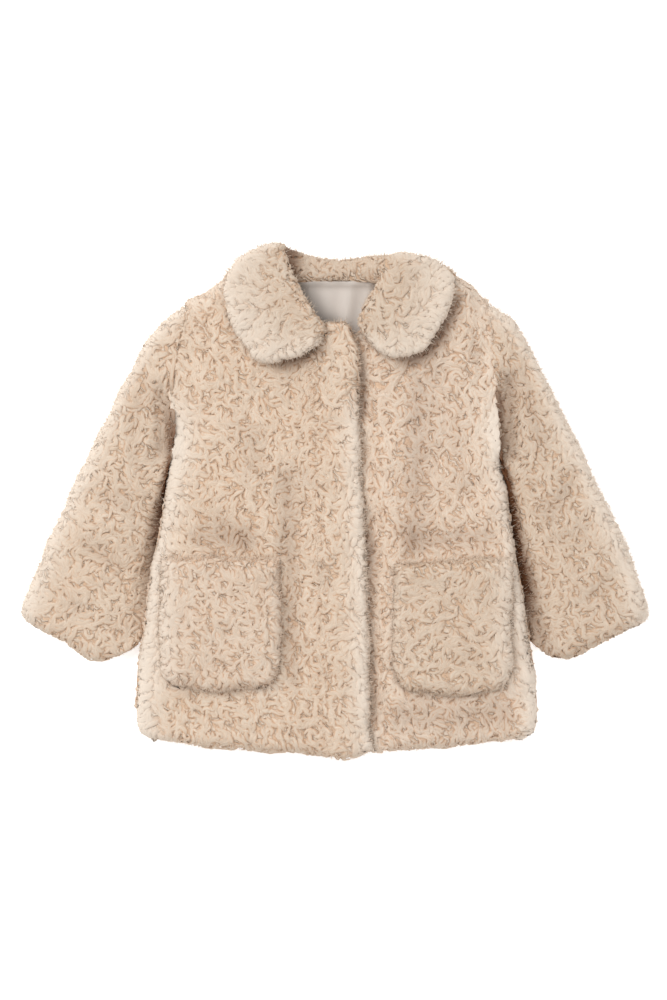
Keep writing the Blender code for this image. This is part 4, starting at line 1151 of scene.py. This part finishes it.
def curls(name, skin, style, spacing, seed, nap, finish):
    """Locks of the pile on one skin, their roots spread evenly.

    The locks follow one wavy field of headings, long swirls and short waves, so that neighbours nest, and
    each strays from it by a wave of its own. A lock rises from the cloth along a quarter sine. Along the
    brushed edges they lie straighter and flatter.
    """
    rng = np.random.default_rng(seed)
    spots = skin.spots(rng, spacing, 1.0 - (1.0 - UNDER_SHARE) * skin.facing_ground())
    count = len(spots[0])
    swirl, waves = Swells(rng, SWIRL), Swells(rng, WAVE)
    steep = np.linalg.norm(skin.at(skin.normals, *spots)[:, :2], axis=1)
    # Where painted light makes the skin paler, its pile is also taken as brushed out: flatter, straighter
    # locks.
    brushed = np.clip(-skin.at(skin.shade, *spots), 0.0, LARGEST_SHADE)
    free = (1.0 - 0.6 * ease(0.35, 0.5, steep)) * (1.0 - brushed)
    against = rng.uniform(0.0, 1.0, count) < AGAINST * (brushed < 0.1)
    stray = rng.normal(0.0, STRAY, count) * free + math.pi * against
    length = style.length * rng.uniform(*LENGTHS, count)
    turns = style.turns * rng.uniform(*TURNS, count)
    phase = rng.uniform(0.0, 1.0, count)

    def heading(place, share):
        sway = SWIRL_SWING * swirl(place) + style.swing * waves(place)
        return stray + free * (sway + OWN_SWING * np.cos(2.0 * math.pi * (turns * share + phase)))
    path, normals, shade = lay(skin, spots, heading, length, style.steps, nap)

    share = np.linspace(0.0, 1.0, style.steps)
    spread = RISE_SPREAD * style.relief * rng.uniform(-0.5, 0.5, count)
    rise = style.rise * (LEAST_RISE + spread) * (1.0 - 0.6 * brushed)
    height = rise[:, None] * np.sin(0.5 * math.pi * np.minimum(share / RISING, 1.0)) - (1.0 - share) ** 6
    wave = np.sin(2.0 * math.pi * (turns[:, None] * share + phase[:, None] + 0.25))
    height = height + 0.3 * style.relief * wave * np.sin(math.pi * share)

    relief = style.relief * (1.0 - 0.75 * brushed)
    wide = style.width * rng.uniform(*WIDTHS, count) * (1.0 + 0.2 * brushed)
    taper = (np.sin(math.pi * (0.06 + 0.9 * share) ** 0.85)) ** 0.6
    radius = 0.5 * wide[:, None] * taper / math.cos(math.radians(30.0))
    tone = rng.uniform(0.0, 1.0, count)
    sides = np.repeat(1.0 - LOCK_SIDES * relief[:, None], 2, axis=1)
    flatness = LOCK_FLATNESS * np.sqrt(relief)
    path = path + normals * height[..., None]
    return worn(tubes(name, path, normals, radius, flatness, (tone, shade, sides), rng), finish)


def worn(piece, finish):
    """Gives pile its finish, and lets it ride on the coat."""
    piece.data.materials.append(finish)
    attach(piece, "root")
    return piece


def hairs(name, skins, naps, fur, seed, finish, length=1.0):
    """Single fine hairs, most of them where the pile turns over an edge.

    Each starts along a line between the nap and straight out, bends towards the nap with the square of
    its length, and waves a little.
    """
    rng = np.random.default_rng(seed)
    share = np.linspace(0.0, 1.0, len(HAIR_TAPER))[:, None]
    paths, lies, shades = [], [], []
    for skin, nap in zip(skins, naps):
        steep = np.linalg.norm(skin.normals[..., :2], axis=2)
        weight = HAIR_ON_TOP + (1.0 - HAIR_ON_TOP) * ease(*STEEP, steep)
        weight = weight * skin.fuzz * (skin.normals[..., 2] > HAIR_UNDER)
        spots = skin.spots(rng, fur.hair_spacing / MM, weight)
        count = len(spots[0])
        place, normal = skin.at(skin.points, *spots), unit(skin.at(skin.normals, *spots))
        lie = nap(place, normal)
        forward = unit(lie - normal * (lie * normal).sum(axis=1, keepdims=True))
        upright = 0.3 + 0.6 * np.linalg.norm(normal[:, :2], axis=1, keepdims=True)
        start = unit(normal * upright + forward * 0.7 + rng.normal(0.0, STRAY, (count, 3)))
        reach = fur.hair_length / MM * rng.uniform(0.5, 1.2, (count, 1, 1)) * length
        reach = reach * (1.0 - 0.4 * ease(0.5, 0.3, -normal[:, 1]))[:, None, None]
        turns = rng.uniform(0.4, 1.1, (count, 1, 1))
        wave = np.sin(2.0 * math.pi * (turns * share + rng.uniform(0.0, 1.0, (count, 1, 1))))
        path = (place + normal)[:, None] + start[:, None] * reach * share
        path = path + forward[:, None] * 0.3 * reach * share ** 2
        path = path + np.cross(normal, forward)[:, None] * 0.12 * reach * wave * share
        paths.append(path)
        lies.append(np.broadcast_to(normal[:, None], path.shape))
        # The hairs take the skin's painted shade, less towards their tips, and all are made a little paler:
        # painted light.
        shades.append(skin.at(skin.shade, *spots)[:, None] * np.linspace(0.6, 0.2, len(HAIR_TAPER)) - 0.2)
    path = np.concatenate(paths)
    radius = 0.5 * fur.hair_width / MM * rng.uniform(0.7, 1.4, (len(path), 1)) * HAIR_TAPER
    look = rng.uniform(0.0, 0.6, len(path)), np.concatenate(shades), np.ones((len(path), 2))
    return worn(tubes(name, path, np.concatenate(lies), radius, 1.0, look, rng), finish)


# ---------------------------------------------------------------- shader maths

class Signal:
    """A node socket that takes part in sums: each operator adds the Math node that works it out."""

    def __init__(self, tree, socket):
        self.tree = tree
        self.socket = socket

    def maths(self, operation, *values):
        return add_node(self.tree, "ShaderNodeMath", {"operation": operation}, dict(enumerate(values)))[0]

    def __add__(self, other):
        return self.maths("ADD", self, other)

    def __mul__(self, other):
        return self.maths("MULTIPLY", self, other)

    def __sub__(self, other):
        return self.maths("SUBTRACT", self, other)

    def __rsub__(self, other):
        return self.maths("SUBTRACT", other, self)

    __radd__ = __add__
    __rmul__ = __mul__

    def clamped(self):
        return self.maths("MINIMUM", self.maths("MAXIMUM", self, 0.0), 1.0)


def add_node(tree, kind, settings=None, values=None):
    """Adds a node, sets its settings, then its sockets' values or links, and returns its outputs."""
    made = tree.nodes.new(kind)
    for key, value in (settings or {}).items():
        if key == "stops":
            ramp = made.color_ramp
            for place, colour in value[2:]:
                ramp.elements.new(place)
            for element, (place, colour) in zip(ramp.elements, sorted(value)):
                element.position = place
                element.color = (*colour, 1.0)
        else:
            setattr(made, key, value)
    for key, value in (values or {}).items():
        socket = made.inputs[key]
        if isinstance(value, Signal):
            tree.links.new(value.socket, socket)
        else:
            socket.default_value = value
    return [Signal(tree, socket) for socket in made.outputs]


def named(outputs, name):
    return next(s for s in outputs if s.socket.name == name and s.socket.enabled)


class Finish:
    """A material with one principled shader, and the nodes that feed it."""

    def __init__(self, name, roughness, **constants):
        self.material = bpy.data.materials.new(name)
        self.material.use_nodes = True
        self.tree = self.material.node_tree
        self.shader = self.tree.nodes["Principled BSDF"]
        self.shader.inputs["Roughness"].default_value = roughness
        for key, value in constants.items():
            self.shader.inputs[key.replace("_", " ")].default_value = value

    def node(self, kind, settings=None, **values):
        values = {key.replace("_", " "): value for key, value in values.items()}
        return add_node(self.tree, "ShaderNode" + kind, settings, values)

    def place(self):
        return named(self.node("TexCoord"), "Object")

    def attribute(self, name):
        return named(self.node("Attribute", {"attribute_name": name}), "Fac")

    def noise(self, vector, scale, detail=3.0, roughness=0.55, distortion=0.0):
        return self.node("TexNoise", Vector=vector, Scale=scale, Detail=detail, Roughness=roughness,
                         Distortion=distortion)[0]

    def along_fibres(self, scale):
        """The lock's own map, scaled round it and along it."""
        fibres = named(self.node("UVMap", {"uv_map": "fibres"}), "UV")
        return self.node("Mapping", {"vector_type": "POINT"}, Vector=fibres, Scale=scale)[0]

    def step(self, value, start, stop):
        """A smooth step from 0 at start to 1 at stop."""
        return self.node("MapRange", {"interpolation_type": "SMOOTHSTEP"}, Value=value, From_Min=start,
                         From_Max=stop)[0]

    def tinted(self, colour, tint):
        return self.mix(1.0, colour, rgb(tint), "MULTIPLY")

    def mix(self, share, first, second, blend="MIX"):
        outputs = add_node(self.tree, "ShaderNodeMix", {"data_type": "RGBA", "blend_type": blend},
                           {0: share, 6: first, 7: second})
        return outputs[2]

    def shaded(self, colour, fur):
        """The colour, deepened by painted shade, and paler where the pile is brushed out thin: partly painted
        light.
        """
        shade = self.attribute("shade")
        colour = self.mix(shade.clamped(), colour, self.tinted(colour, fur.deep))
        return self.mix((shade * -1.0).clamped(), colour, rgb(fur.pale))

    def feed(self, socket, signal):
        self.tree.links.new(signal.socket, self.shader.inputs[socket])

    def bump(self, height, strength, distance):
        self.feed("Normal", self.node("Bump", Height=height, Strength=strength, Distance=distance)[0])


def rgb(colour):
    return (*colour, 1.0)


STREAKS = (1.1, 0.16, 1.0)     # how often fibres and partings repeat round a lock and along it, a millimetre
PARTINGS = (0.3, 0.07, 1.0)


def curl_finish(name, fur, tint):
    """The locks: painted shade, warm and deep, at their sides, roots and partings, cream on their crowns,
    with streaks of fibre.
    """
    finish = Finish(name, 0.85, Sheen_Weight=0.12, Sheen_Roughness=0.5, Specular_IOR_Level=0.1,
                    Sheen_Tint=rgb(fur.crown))
    light, tone = finish.attribute("light"), finish.attribute("tone")
    fibre = finish.noise(finish.along_fibres(STREAKS), 1.0, 2.0, 0.6)
    cloud = finish.noise(finish.place(), 22.0, 2.0)
    # Partings: thin lines along each lock, painted shade in the gap colour.
    parting = finish.noise(finish.along_fibres(PARTINGS), 1.0, 1.0, 0.5, 0.4)
    parting = finish.step(parting.maths("ABSOLUTE", parting - 0.5), 0.0, 0.055)
    depth = finish.step(light, 0.05, 0.75) * (parting * 0.5 + 0.5)
    colour = finish.mix(depth, rgb(fur.gap), rgb(fur.crown))
    blush = (tone * 0.4 + cloud * 0.6 - 0.05).clamped()
    colour = finish.mix(blush, colour, finish.tinted(colour, fur.blush))
    streak = (fibre * 1.2 + 0.3).clamped()
    shade = finish.node("CombineColor", Red=streak, Green=streak, Blue=streak)[0]
    colour = finish.mix(0.3, colour, finish.mix(1.0, colour, shade, "MULTIPLY"))
    finish.feed("Base Color", finish.shaded(finish.tinted(colour, tint), fur))
    finish.feed("Roughness", fibre * 0.25 + 0.68)
    finish.bump(fibre, 0.35, 0.0006)
    return finish.material


def pile_finish(name, fur, tint):
    """The dense pile between the locks: crooked furrows, darker than the locks, in part painted shade."""
    finish = Finish(name, 0.95, Specular_IOR_Level=0.15)
    place = finish.place()
    furrows = finish.node("TexWave", {"wave_type": "BANDS", "bands_direction": "DIAGONAL"}, Vector=place,
                          Scale=88.0, Distortion=9.0, Detail=2.0, Detail_Scale=1.4)[1]
    fine = finish.noise(place, 700.0, 2.0, 0.6, 0.8)
    colour = finish.mix((furrows * 0.75 + fine * 0.3).clamped(), rgb(fur.root), rgb(fur.crown))
    finish.feed("Base Color", finish.shaded(finish.tinted(colour, tint), fur))
    finish.bump(furrows + fine * 0.5, 0.9, 0.0015)
    return finish.material


def lining_finish(name, ivory):
    """Smooth woven lining: a fine even weave with a soft sheen."""
    finish = Finish(name, 0.5, Sheen_Weight=0.2, Specular_IOR_Level=0.4)
    place = finish.place()
    warp = finish.node("TexWave", {"bands_direction": "X"}, Vector=place, Scale=420.0, Distortion=0.6)[1]
    weft = finish.node("TexWave", {"bands_direction": "Y"}, Vector=place, Scale=520.0, Distortion=0.6)[1]
    cloud = finish.noise(place, 38.0, 2.0)
    colour = finish.mix(cloud, rgb([0.9 * c for c in ivory]), rgb(ivory))
    # Painted shadow: darker where the shade attribute is high, beside the right wing and low down.
    colour = finish.mix(finish.attribute("shade").clamped(), colour, rgb([0.45 * c for c in ivory]))
    finish.feed("Base Color", colour)
    finish.feed("Roughness", cloud * 0.2 + 0.4)
    finish.bump(warp + weft, 0.15, 0.0002)
    return finish.material


# ---------------------------------------------------------------- settings

class CoatFur(bpy.types.PropertyGroup):
    """Sizes and colours of the pile."""
    inset: FloatProperty(name="Lock height", description="How far the locks stand above the dense pile",
                         default=0.0020, unit="LENGTH")
    length: FloatProperty(name="Lock length", description="Length of a lock along its waves",
                          default=0.0145, unit="LENGTH")
    width: FloatProperty(name="Lock width", description="Width of a lock at its middle",
                         default=0.0042, unit="LENGTH")
    spacing: FloatProperty(name="Lock spacing", description="Distance between neighbouring roots",
                           default=0.0036, unit="LENGTH")
    under_spacing: FloatProperty(name="Spacing underneath", description="The same where the coat lies on it",
                                 default=0.0043, unit="LENGTH")
    swing: FloatProperty(name="Swing", description="How far a lock's heading swings", default=0.95,
                         subtype="ANGLE")
    turns: FloatProperty(name="Waves", description="Waves along one lock", default=1.1)
    hair_length: FloatProperty(name="Hair length", description="Length of the fine hairs at the edges",
                               default=0.0055, unit="LENGTH")
    hair_width: FloatProperty(name="Hair width", description="Width of a fine hair", default=0.0004,
                              unit="LENGTH")
    hair_spacing: FloatProperty(name="Hair spacing", description="Distance between hairs at an edge",
                                default=0.0026, unit="LENGTH")
    crown: FloatVectorProperty(name="Crown", description="Colour on top of the locks", subtype="COLOR",
                               default=(0.80, 0.68, 0.565), min=0.0, max=1.0)
    blush: FloatVectorProperty(name="Blush", description="Warm tint of the deeper locks", subtype="COLOR",
                               default=(0.82, 0.75, 0.69), min=0.0, max=1.0)
    # Gap: painted shade, the colour given to a lock's sides and root, which get less light than its crown.
    gap: FloatVectorProperty(name="Gap", description="Colour at the sides and roots of the locks",
                             subtype="COLOR", default=(0.68, 0.455, 0.305), min=0.0, max=1.0)
    # Root: darker than the crowns, in part painted shade in the gaps between the locks.
    root: FloatVectorProperty(name="Root", description="Colour of the dense pile under the locks",
                              subtype="COLOR", default=(0.68, 0.455, 0.30), min=0.0, max=1.0)
    # Deep: the tint of painted shade, mixed in where the pile lies in crevices, under the collar and beside
    # the pockets.
    deep: FloatVectorProperty(name="Deep", description="Tint of the pile in a crevice", subtype="COLOR",
                              default=(0.20, 0.105, 0.06), min=0.0, max=1.0)
    # Pale: mixed in where the pile is brushed out thin along the edges, partly painted light, and as painted
    # light in crevices.
    pale: FloatVectorProperty(name="Pale", description="Colour of the thin pile along the edges",
                              subtype="COLOR", default=(0.80, 0.70, 0.60), min=0.0, max=1.0)


class CoatLining(bpy.types.PropertyGroup):
    """Colour and folds of the lining."""
    ivory: FloatVectorProperty(name="Ivory", description="Colour of the lining", subtype="COLOR",
                               default=(0.63, 0.565, 0.51), min=0.0, max=1.0)
    fold_depth: FloatProperty(name="Fold depth", description="Height of its soft folds", default=0.0016,
                              unit="LENGTH")


class CoatStudio(bpy.types.PropertyGroup):
    """Camera, lights and floor."""
    distance: FloatProperty(name="Camera height", description="Height of the camera above the coat",
                            default=3.0, unit="LENGTH")
    view_height: FloatProperty(name="View height", description="Length of the view's long side at the coat",
                               default=0.87, unit="LENGTH")
    floor: FloatVectorProperty(name="Floor", description="Colour of the floor", subtype="COLOR",
                               default=(0.93, 0.93, 0.93), min=0.0, max=1.0)
    glow: FloatProperty(name="Glow", description="Light that the floor gives, as a light table does",
                        default=0.56)
    key: FloatProperty(name="Key light", description="Power of the large soft light", default=54.0,
                       unit="POWER")
    fill: FloatProperty(name="Fill light", description="Power of the light across from it", default=14.0,
                        unit="POWER")
    sky: FloatProperty(name="Sky", description="Strength of the even light all round", default=0.60)


# How much each piece's pile is darkened or lightened as a whole: in part painted light and shade.
TINTS = {
    "back": (1.0, 1.0, 1.0),
    "front_right": (0.98, 0.97, 0.95),
    "front_left": (1.02, 1.02, 1.02),
    "sleeve_right": (0.96, 0.95, 0.93),
    "sleeve_left": (0.92, 0.91, 0.89),
    "collar": (0.88, 0.875, 0.86),
    "pocket_right": (0.96, 0.95, 0.94),
    "pocket_left": (0.92, 0.91, 0.89),
}

# How strongly the locks of each piece stand out.
RELIEF = {
    "back": 0.95, "front_right": 0.95, "front_left": 0.95, "sleeve_right": 0.85, "sleeve_left": 0.9,
    "collar": 0.8, "pocket_right": 0.85, "pocket_left": 0.85,
}


def dress(node, skins, naps, seed, spacing=None, steps=7):
    """Cloth, locks and fine hairs of one node: the cloth, and the pieces that go with it."""
    fur = bpy.context.scene.coat_fur
    style = Pile(fur.length / MM, fur.width / MM, fur.inset / MM, fur.turns, fur.swing, steps, RELIEF[node])
    body = cloth(node + "_cloth", skins, pile_finish(node + "_pile", fur, TINTS[node]))
    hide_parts(node)
    finish = curl_finish(node + "_curls", fur, TINTS[node])
    locks = []
    for number, (skin, nap) in enumerate(zip(skins, naps)):
        name = f"{node}_curls_{number + 1}" if len(skins) > 1 else node + "_curls"
        locks.append(curls(name, skin, style, spacing or fur.spacing / MM, seed + number, nap, finish))
    if node != "back":
        length = 0.6 if node.startswith("sleeve") else 1.0
        locks.append(hairs(node + "_hairs", skins, naps, fur, seed + 5, finish, length))
    return body, locks


def soften(skin, seed, size=34.0, depth=0.8):
    """Small hills of the pile, as it is never quite even."""
    hills = Swells(np.random.default_rng(seed), size)
    skin.press(depth * (EVEN + hills(skin.points)))
    return skin


# ---------------------------------------------------------------- operators

class COAT_OT_back(bpy.types.Operator):
    """Lays the back, its pile pressed by the ground"""
    bl_idname = "coat.back"
    bl_label = "Back"

    def execute(self, context):
        fur = context.scene.coat_fur
        skin = back_skin(fur.inset / MM * 0.7)
        skin.press(folds(BACK_FOLDS, skin.points[..., 0], skin.points[..., 1]) * 0.5)
        body, locks = dress("back", [skin], [downwards], 11, fur.under_spacing / MM, steps=6)
        return {"FINISHED"}


class COAT_OT_fronts(bpy.types.Operator):
    """Lays the two fronts, the right one over the left"""
    bl_idname = "coat.fronts"
    bl_label = "Fronts"

    def execute(self, context):
        inset = context.scene.coat_fur.inset / MM
        skin = soften(left_front_skin(inset), 21)
        body, locks = dress("front_left", [skin], [towards_edges("left")], 22)
        skin = soften(right_front_skin(inset), 23)
        body, locks = dress("front_right", [skin], [towards_edges("right")], 24)
        return {"FINISHED"}


class COAT_OT_sleeves(bpy.types.Operator):
    """Lays the two sleeves beside the body"""
    bl_idname = "coat.sleeves"
    bl_label = "Sleeves"

    def execute(self, context):
        inset = 0.3 * context.scene.coat_fur.inset / MM
        for seed, (name, outward) in enumerate((("sleeve_right", -1.0), ("sleeve_left", 1.0))):
            skin = sleeve_skin(name, inset)
            upper = np.clip(skin.normals[..., 2] + 0.2, 0.15, 1.0)
            skin.press(upper * folds(SLEEVE_FOLDS, skin.points[..., 0], skin.points[..., 1]))
            body, locks = dress(name, [soften(skin, 31 + seed)], [along_sleeve(outward)], 33 + seed)
        return {"FINISHED"}


class COAT_OT_collar(bpy.types.Operator):
    """Lays the collar: two wings in front and the part that rolls over behind the neck"""
    bl_idname = "coat.collar"
    bl_label = "Collar"

    def execute(self, context):
        fur = context.scene.coat_fur
        inset = fur.inset / MM
        skins = [soften(wing_skin("wing_right", WING_RIGHT, inset), 41),
                 soften(wing_skin("wing_left", WING_LEFT, inset), 42), yoke_skin(inset)]
        body, locks = dress("collar", skins, [from_neck] * 3, 43, 0.9 * fur.spacing / MM)
        return {"FINISHED"}


class COAT_OT_pockets(bpy.types.Operator):
    """Lays the two patch pockets on the fronts"""
    bl_idname = "coat.pockets"
    bl_label = "Pockets"

    def execute(self, context):
        inset = context.scene.coat_fur.inset / MM
        for seed, name in enumerate(POCKETS):
            skin = soften(pocket_skin(name, inset), 51 + seed)
            body, locks = dress(name, [skin], [downwards], 53 + seed)
        return {"FINISHED"}


class COAT_OT_lining(bpy.types.Operator):
    """Lays the part of the lining that shows inside the neck"""
    bl_idname = "coat.lining"
    bl_label = "Lining"

    def execute(self, context):
        look = context.scene.coat_lining
        skin = lining_skin(look.fold_depth / MM)
        piece = cloth("lining", [skin], lining_finish("lining_weave", look.ivory))
        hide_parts("lining_back")
        return {"FINISHED"}


VIEW_CENTRE = (-0.0011, -0.0001)
COAT_MIDDLE = 0.025       # half way up the coat
SENSOR = 36.0
FLOOR_SIZE = 8.0
FLOOR_LEVEL = -0.0006
LIGHTS = {"key": ((-1.3, 1.2, 2.3), 1.8), "fill": ((1.6, -1.0, 2.2), 2.2)}    # places and sizes


class COAT_OT_studio(bpy.types.Operator):
    """Sets the camera straight above the coat, a pale floor and soft light"""
    bl_idname = "coat.studio"
    bl_label = "Studio"

    def execute(self, context):
        scene = context.scene
        look = scene.coat_studio
        camera = bpy.data.cameras.new("camera")
        camera.sensor_width = SENSOR
        camera.lens = camera.sensor_width * look.distance / look.view_height
        eye = bpy.data.objects.new("camera", camera)
        eye.location = (*VIEW_CENTRE, look.distance + COAT_MIDDLE)
        scene.collection.objects.link(eye)
        scene.camera = eye

        bpy.ops.mesh.primitive_grid_add(x_subdivisions=2, y_subdivisions=2, size=FLOOR_SIZE,
                                        location=(0.0, 0.0, FLOOR_LEVEL))
        floor = bpy.context.object
        floor.name = "floor"
        paper = Finish("floor_paper", 0.9, Specular_IOR_Level=0.1, Base_Color=rgb(look.floor),
                       Emission_Color=rgb(look.floor), Emission_Strength=look.glow)
        floor.data.materials.append(paper.material)

        for name, (place, size) in LIGHTS.items():
            light = bpy.data.lights.new(name, "AREA")
            light.energy = getattr(look, name)
            light.size = size
            lamp = bpy.data.objects.new(name, light)
            lamp.location = place
            lamp.rotation_mode = "QUATERNION"
            lamp.rotation_quaternion = lamp.location.to_track_quat("Z", "Y")
            scene.collection.objects.link(lamp)
        world = bpy.data.worlds.new("studio")
        world.use_nodes = True
        sky = world.node_tree.nodes["Background"].inputs
        sky["Color"].default_value = rgb((1.0, 1.0, 1.0))
        sky["Strength"].default_value = look.sky
        scene.world = world
        scene.view_settings.view_transform = "Standard"
        return {"FINISHED"}


class COAT_PT_panel(bpy.types.Panel):
    """Lists the coat's pieces in the order in which they are laid"""
    bl_idname = "COAT_PT_panel"
    bl_label = "Coat"
    bl_space_type = "VIEW_3D"
    bl_region_type = "UI"
    bl_category = "Coat"

    def draw(self, context):
        for operator in OPERATORS:
            self.layout.operator(operator.bl_idname)
        for key in SETTINGS:
            settings = getattr(context.scene, key)
            for name in settings.__annotations__:
                self.layout.prop(settings, name)


SETTINGS = {"coat_fur": CoatFur, "coat_lining": CoatLining, "coat_studio": CoatStudio}
OPERATORS = (COAT_OT_back, COAT_OT_lining, COAT_OT_fronts, COAT_OT_sleeves, COAT_OT_pockets, COAT_OT_collar,
             COAT_OT_studio)


def register():
    for group in SETTINGS.values():
        bpy.utils.register_class(group)
    for key, group in SETTINGS.items():
        setattr(bpy.types.Scene, key, PointerProperty(type=group))
    for operator in (*OPERATORS, COAT_PT_panel):
        bpy.utils.register_class(operator)


def unregister():
    for operator in reversed((*OPERATORS, COAT_PT_panel)):
        bpy.utils.unregister_class(operator)
    for key, group in SETTINGS.items():
        delattr(bpy.types.Scene, key)
        bpy.utils.unregister_class(group)


def main():
    register()
    for operator in OPERATORS:
        group, name = operator.bl_idname.split(".")
        getattr(getattr(bpy.ops, group), name)()


if __name__ == "__main__":
    main()
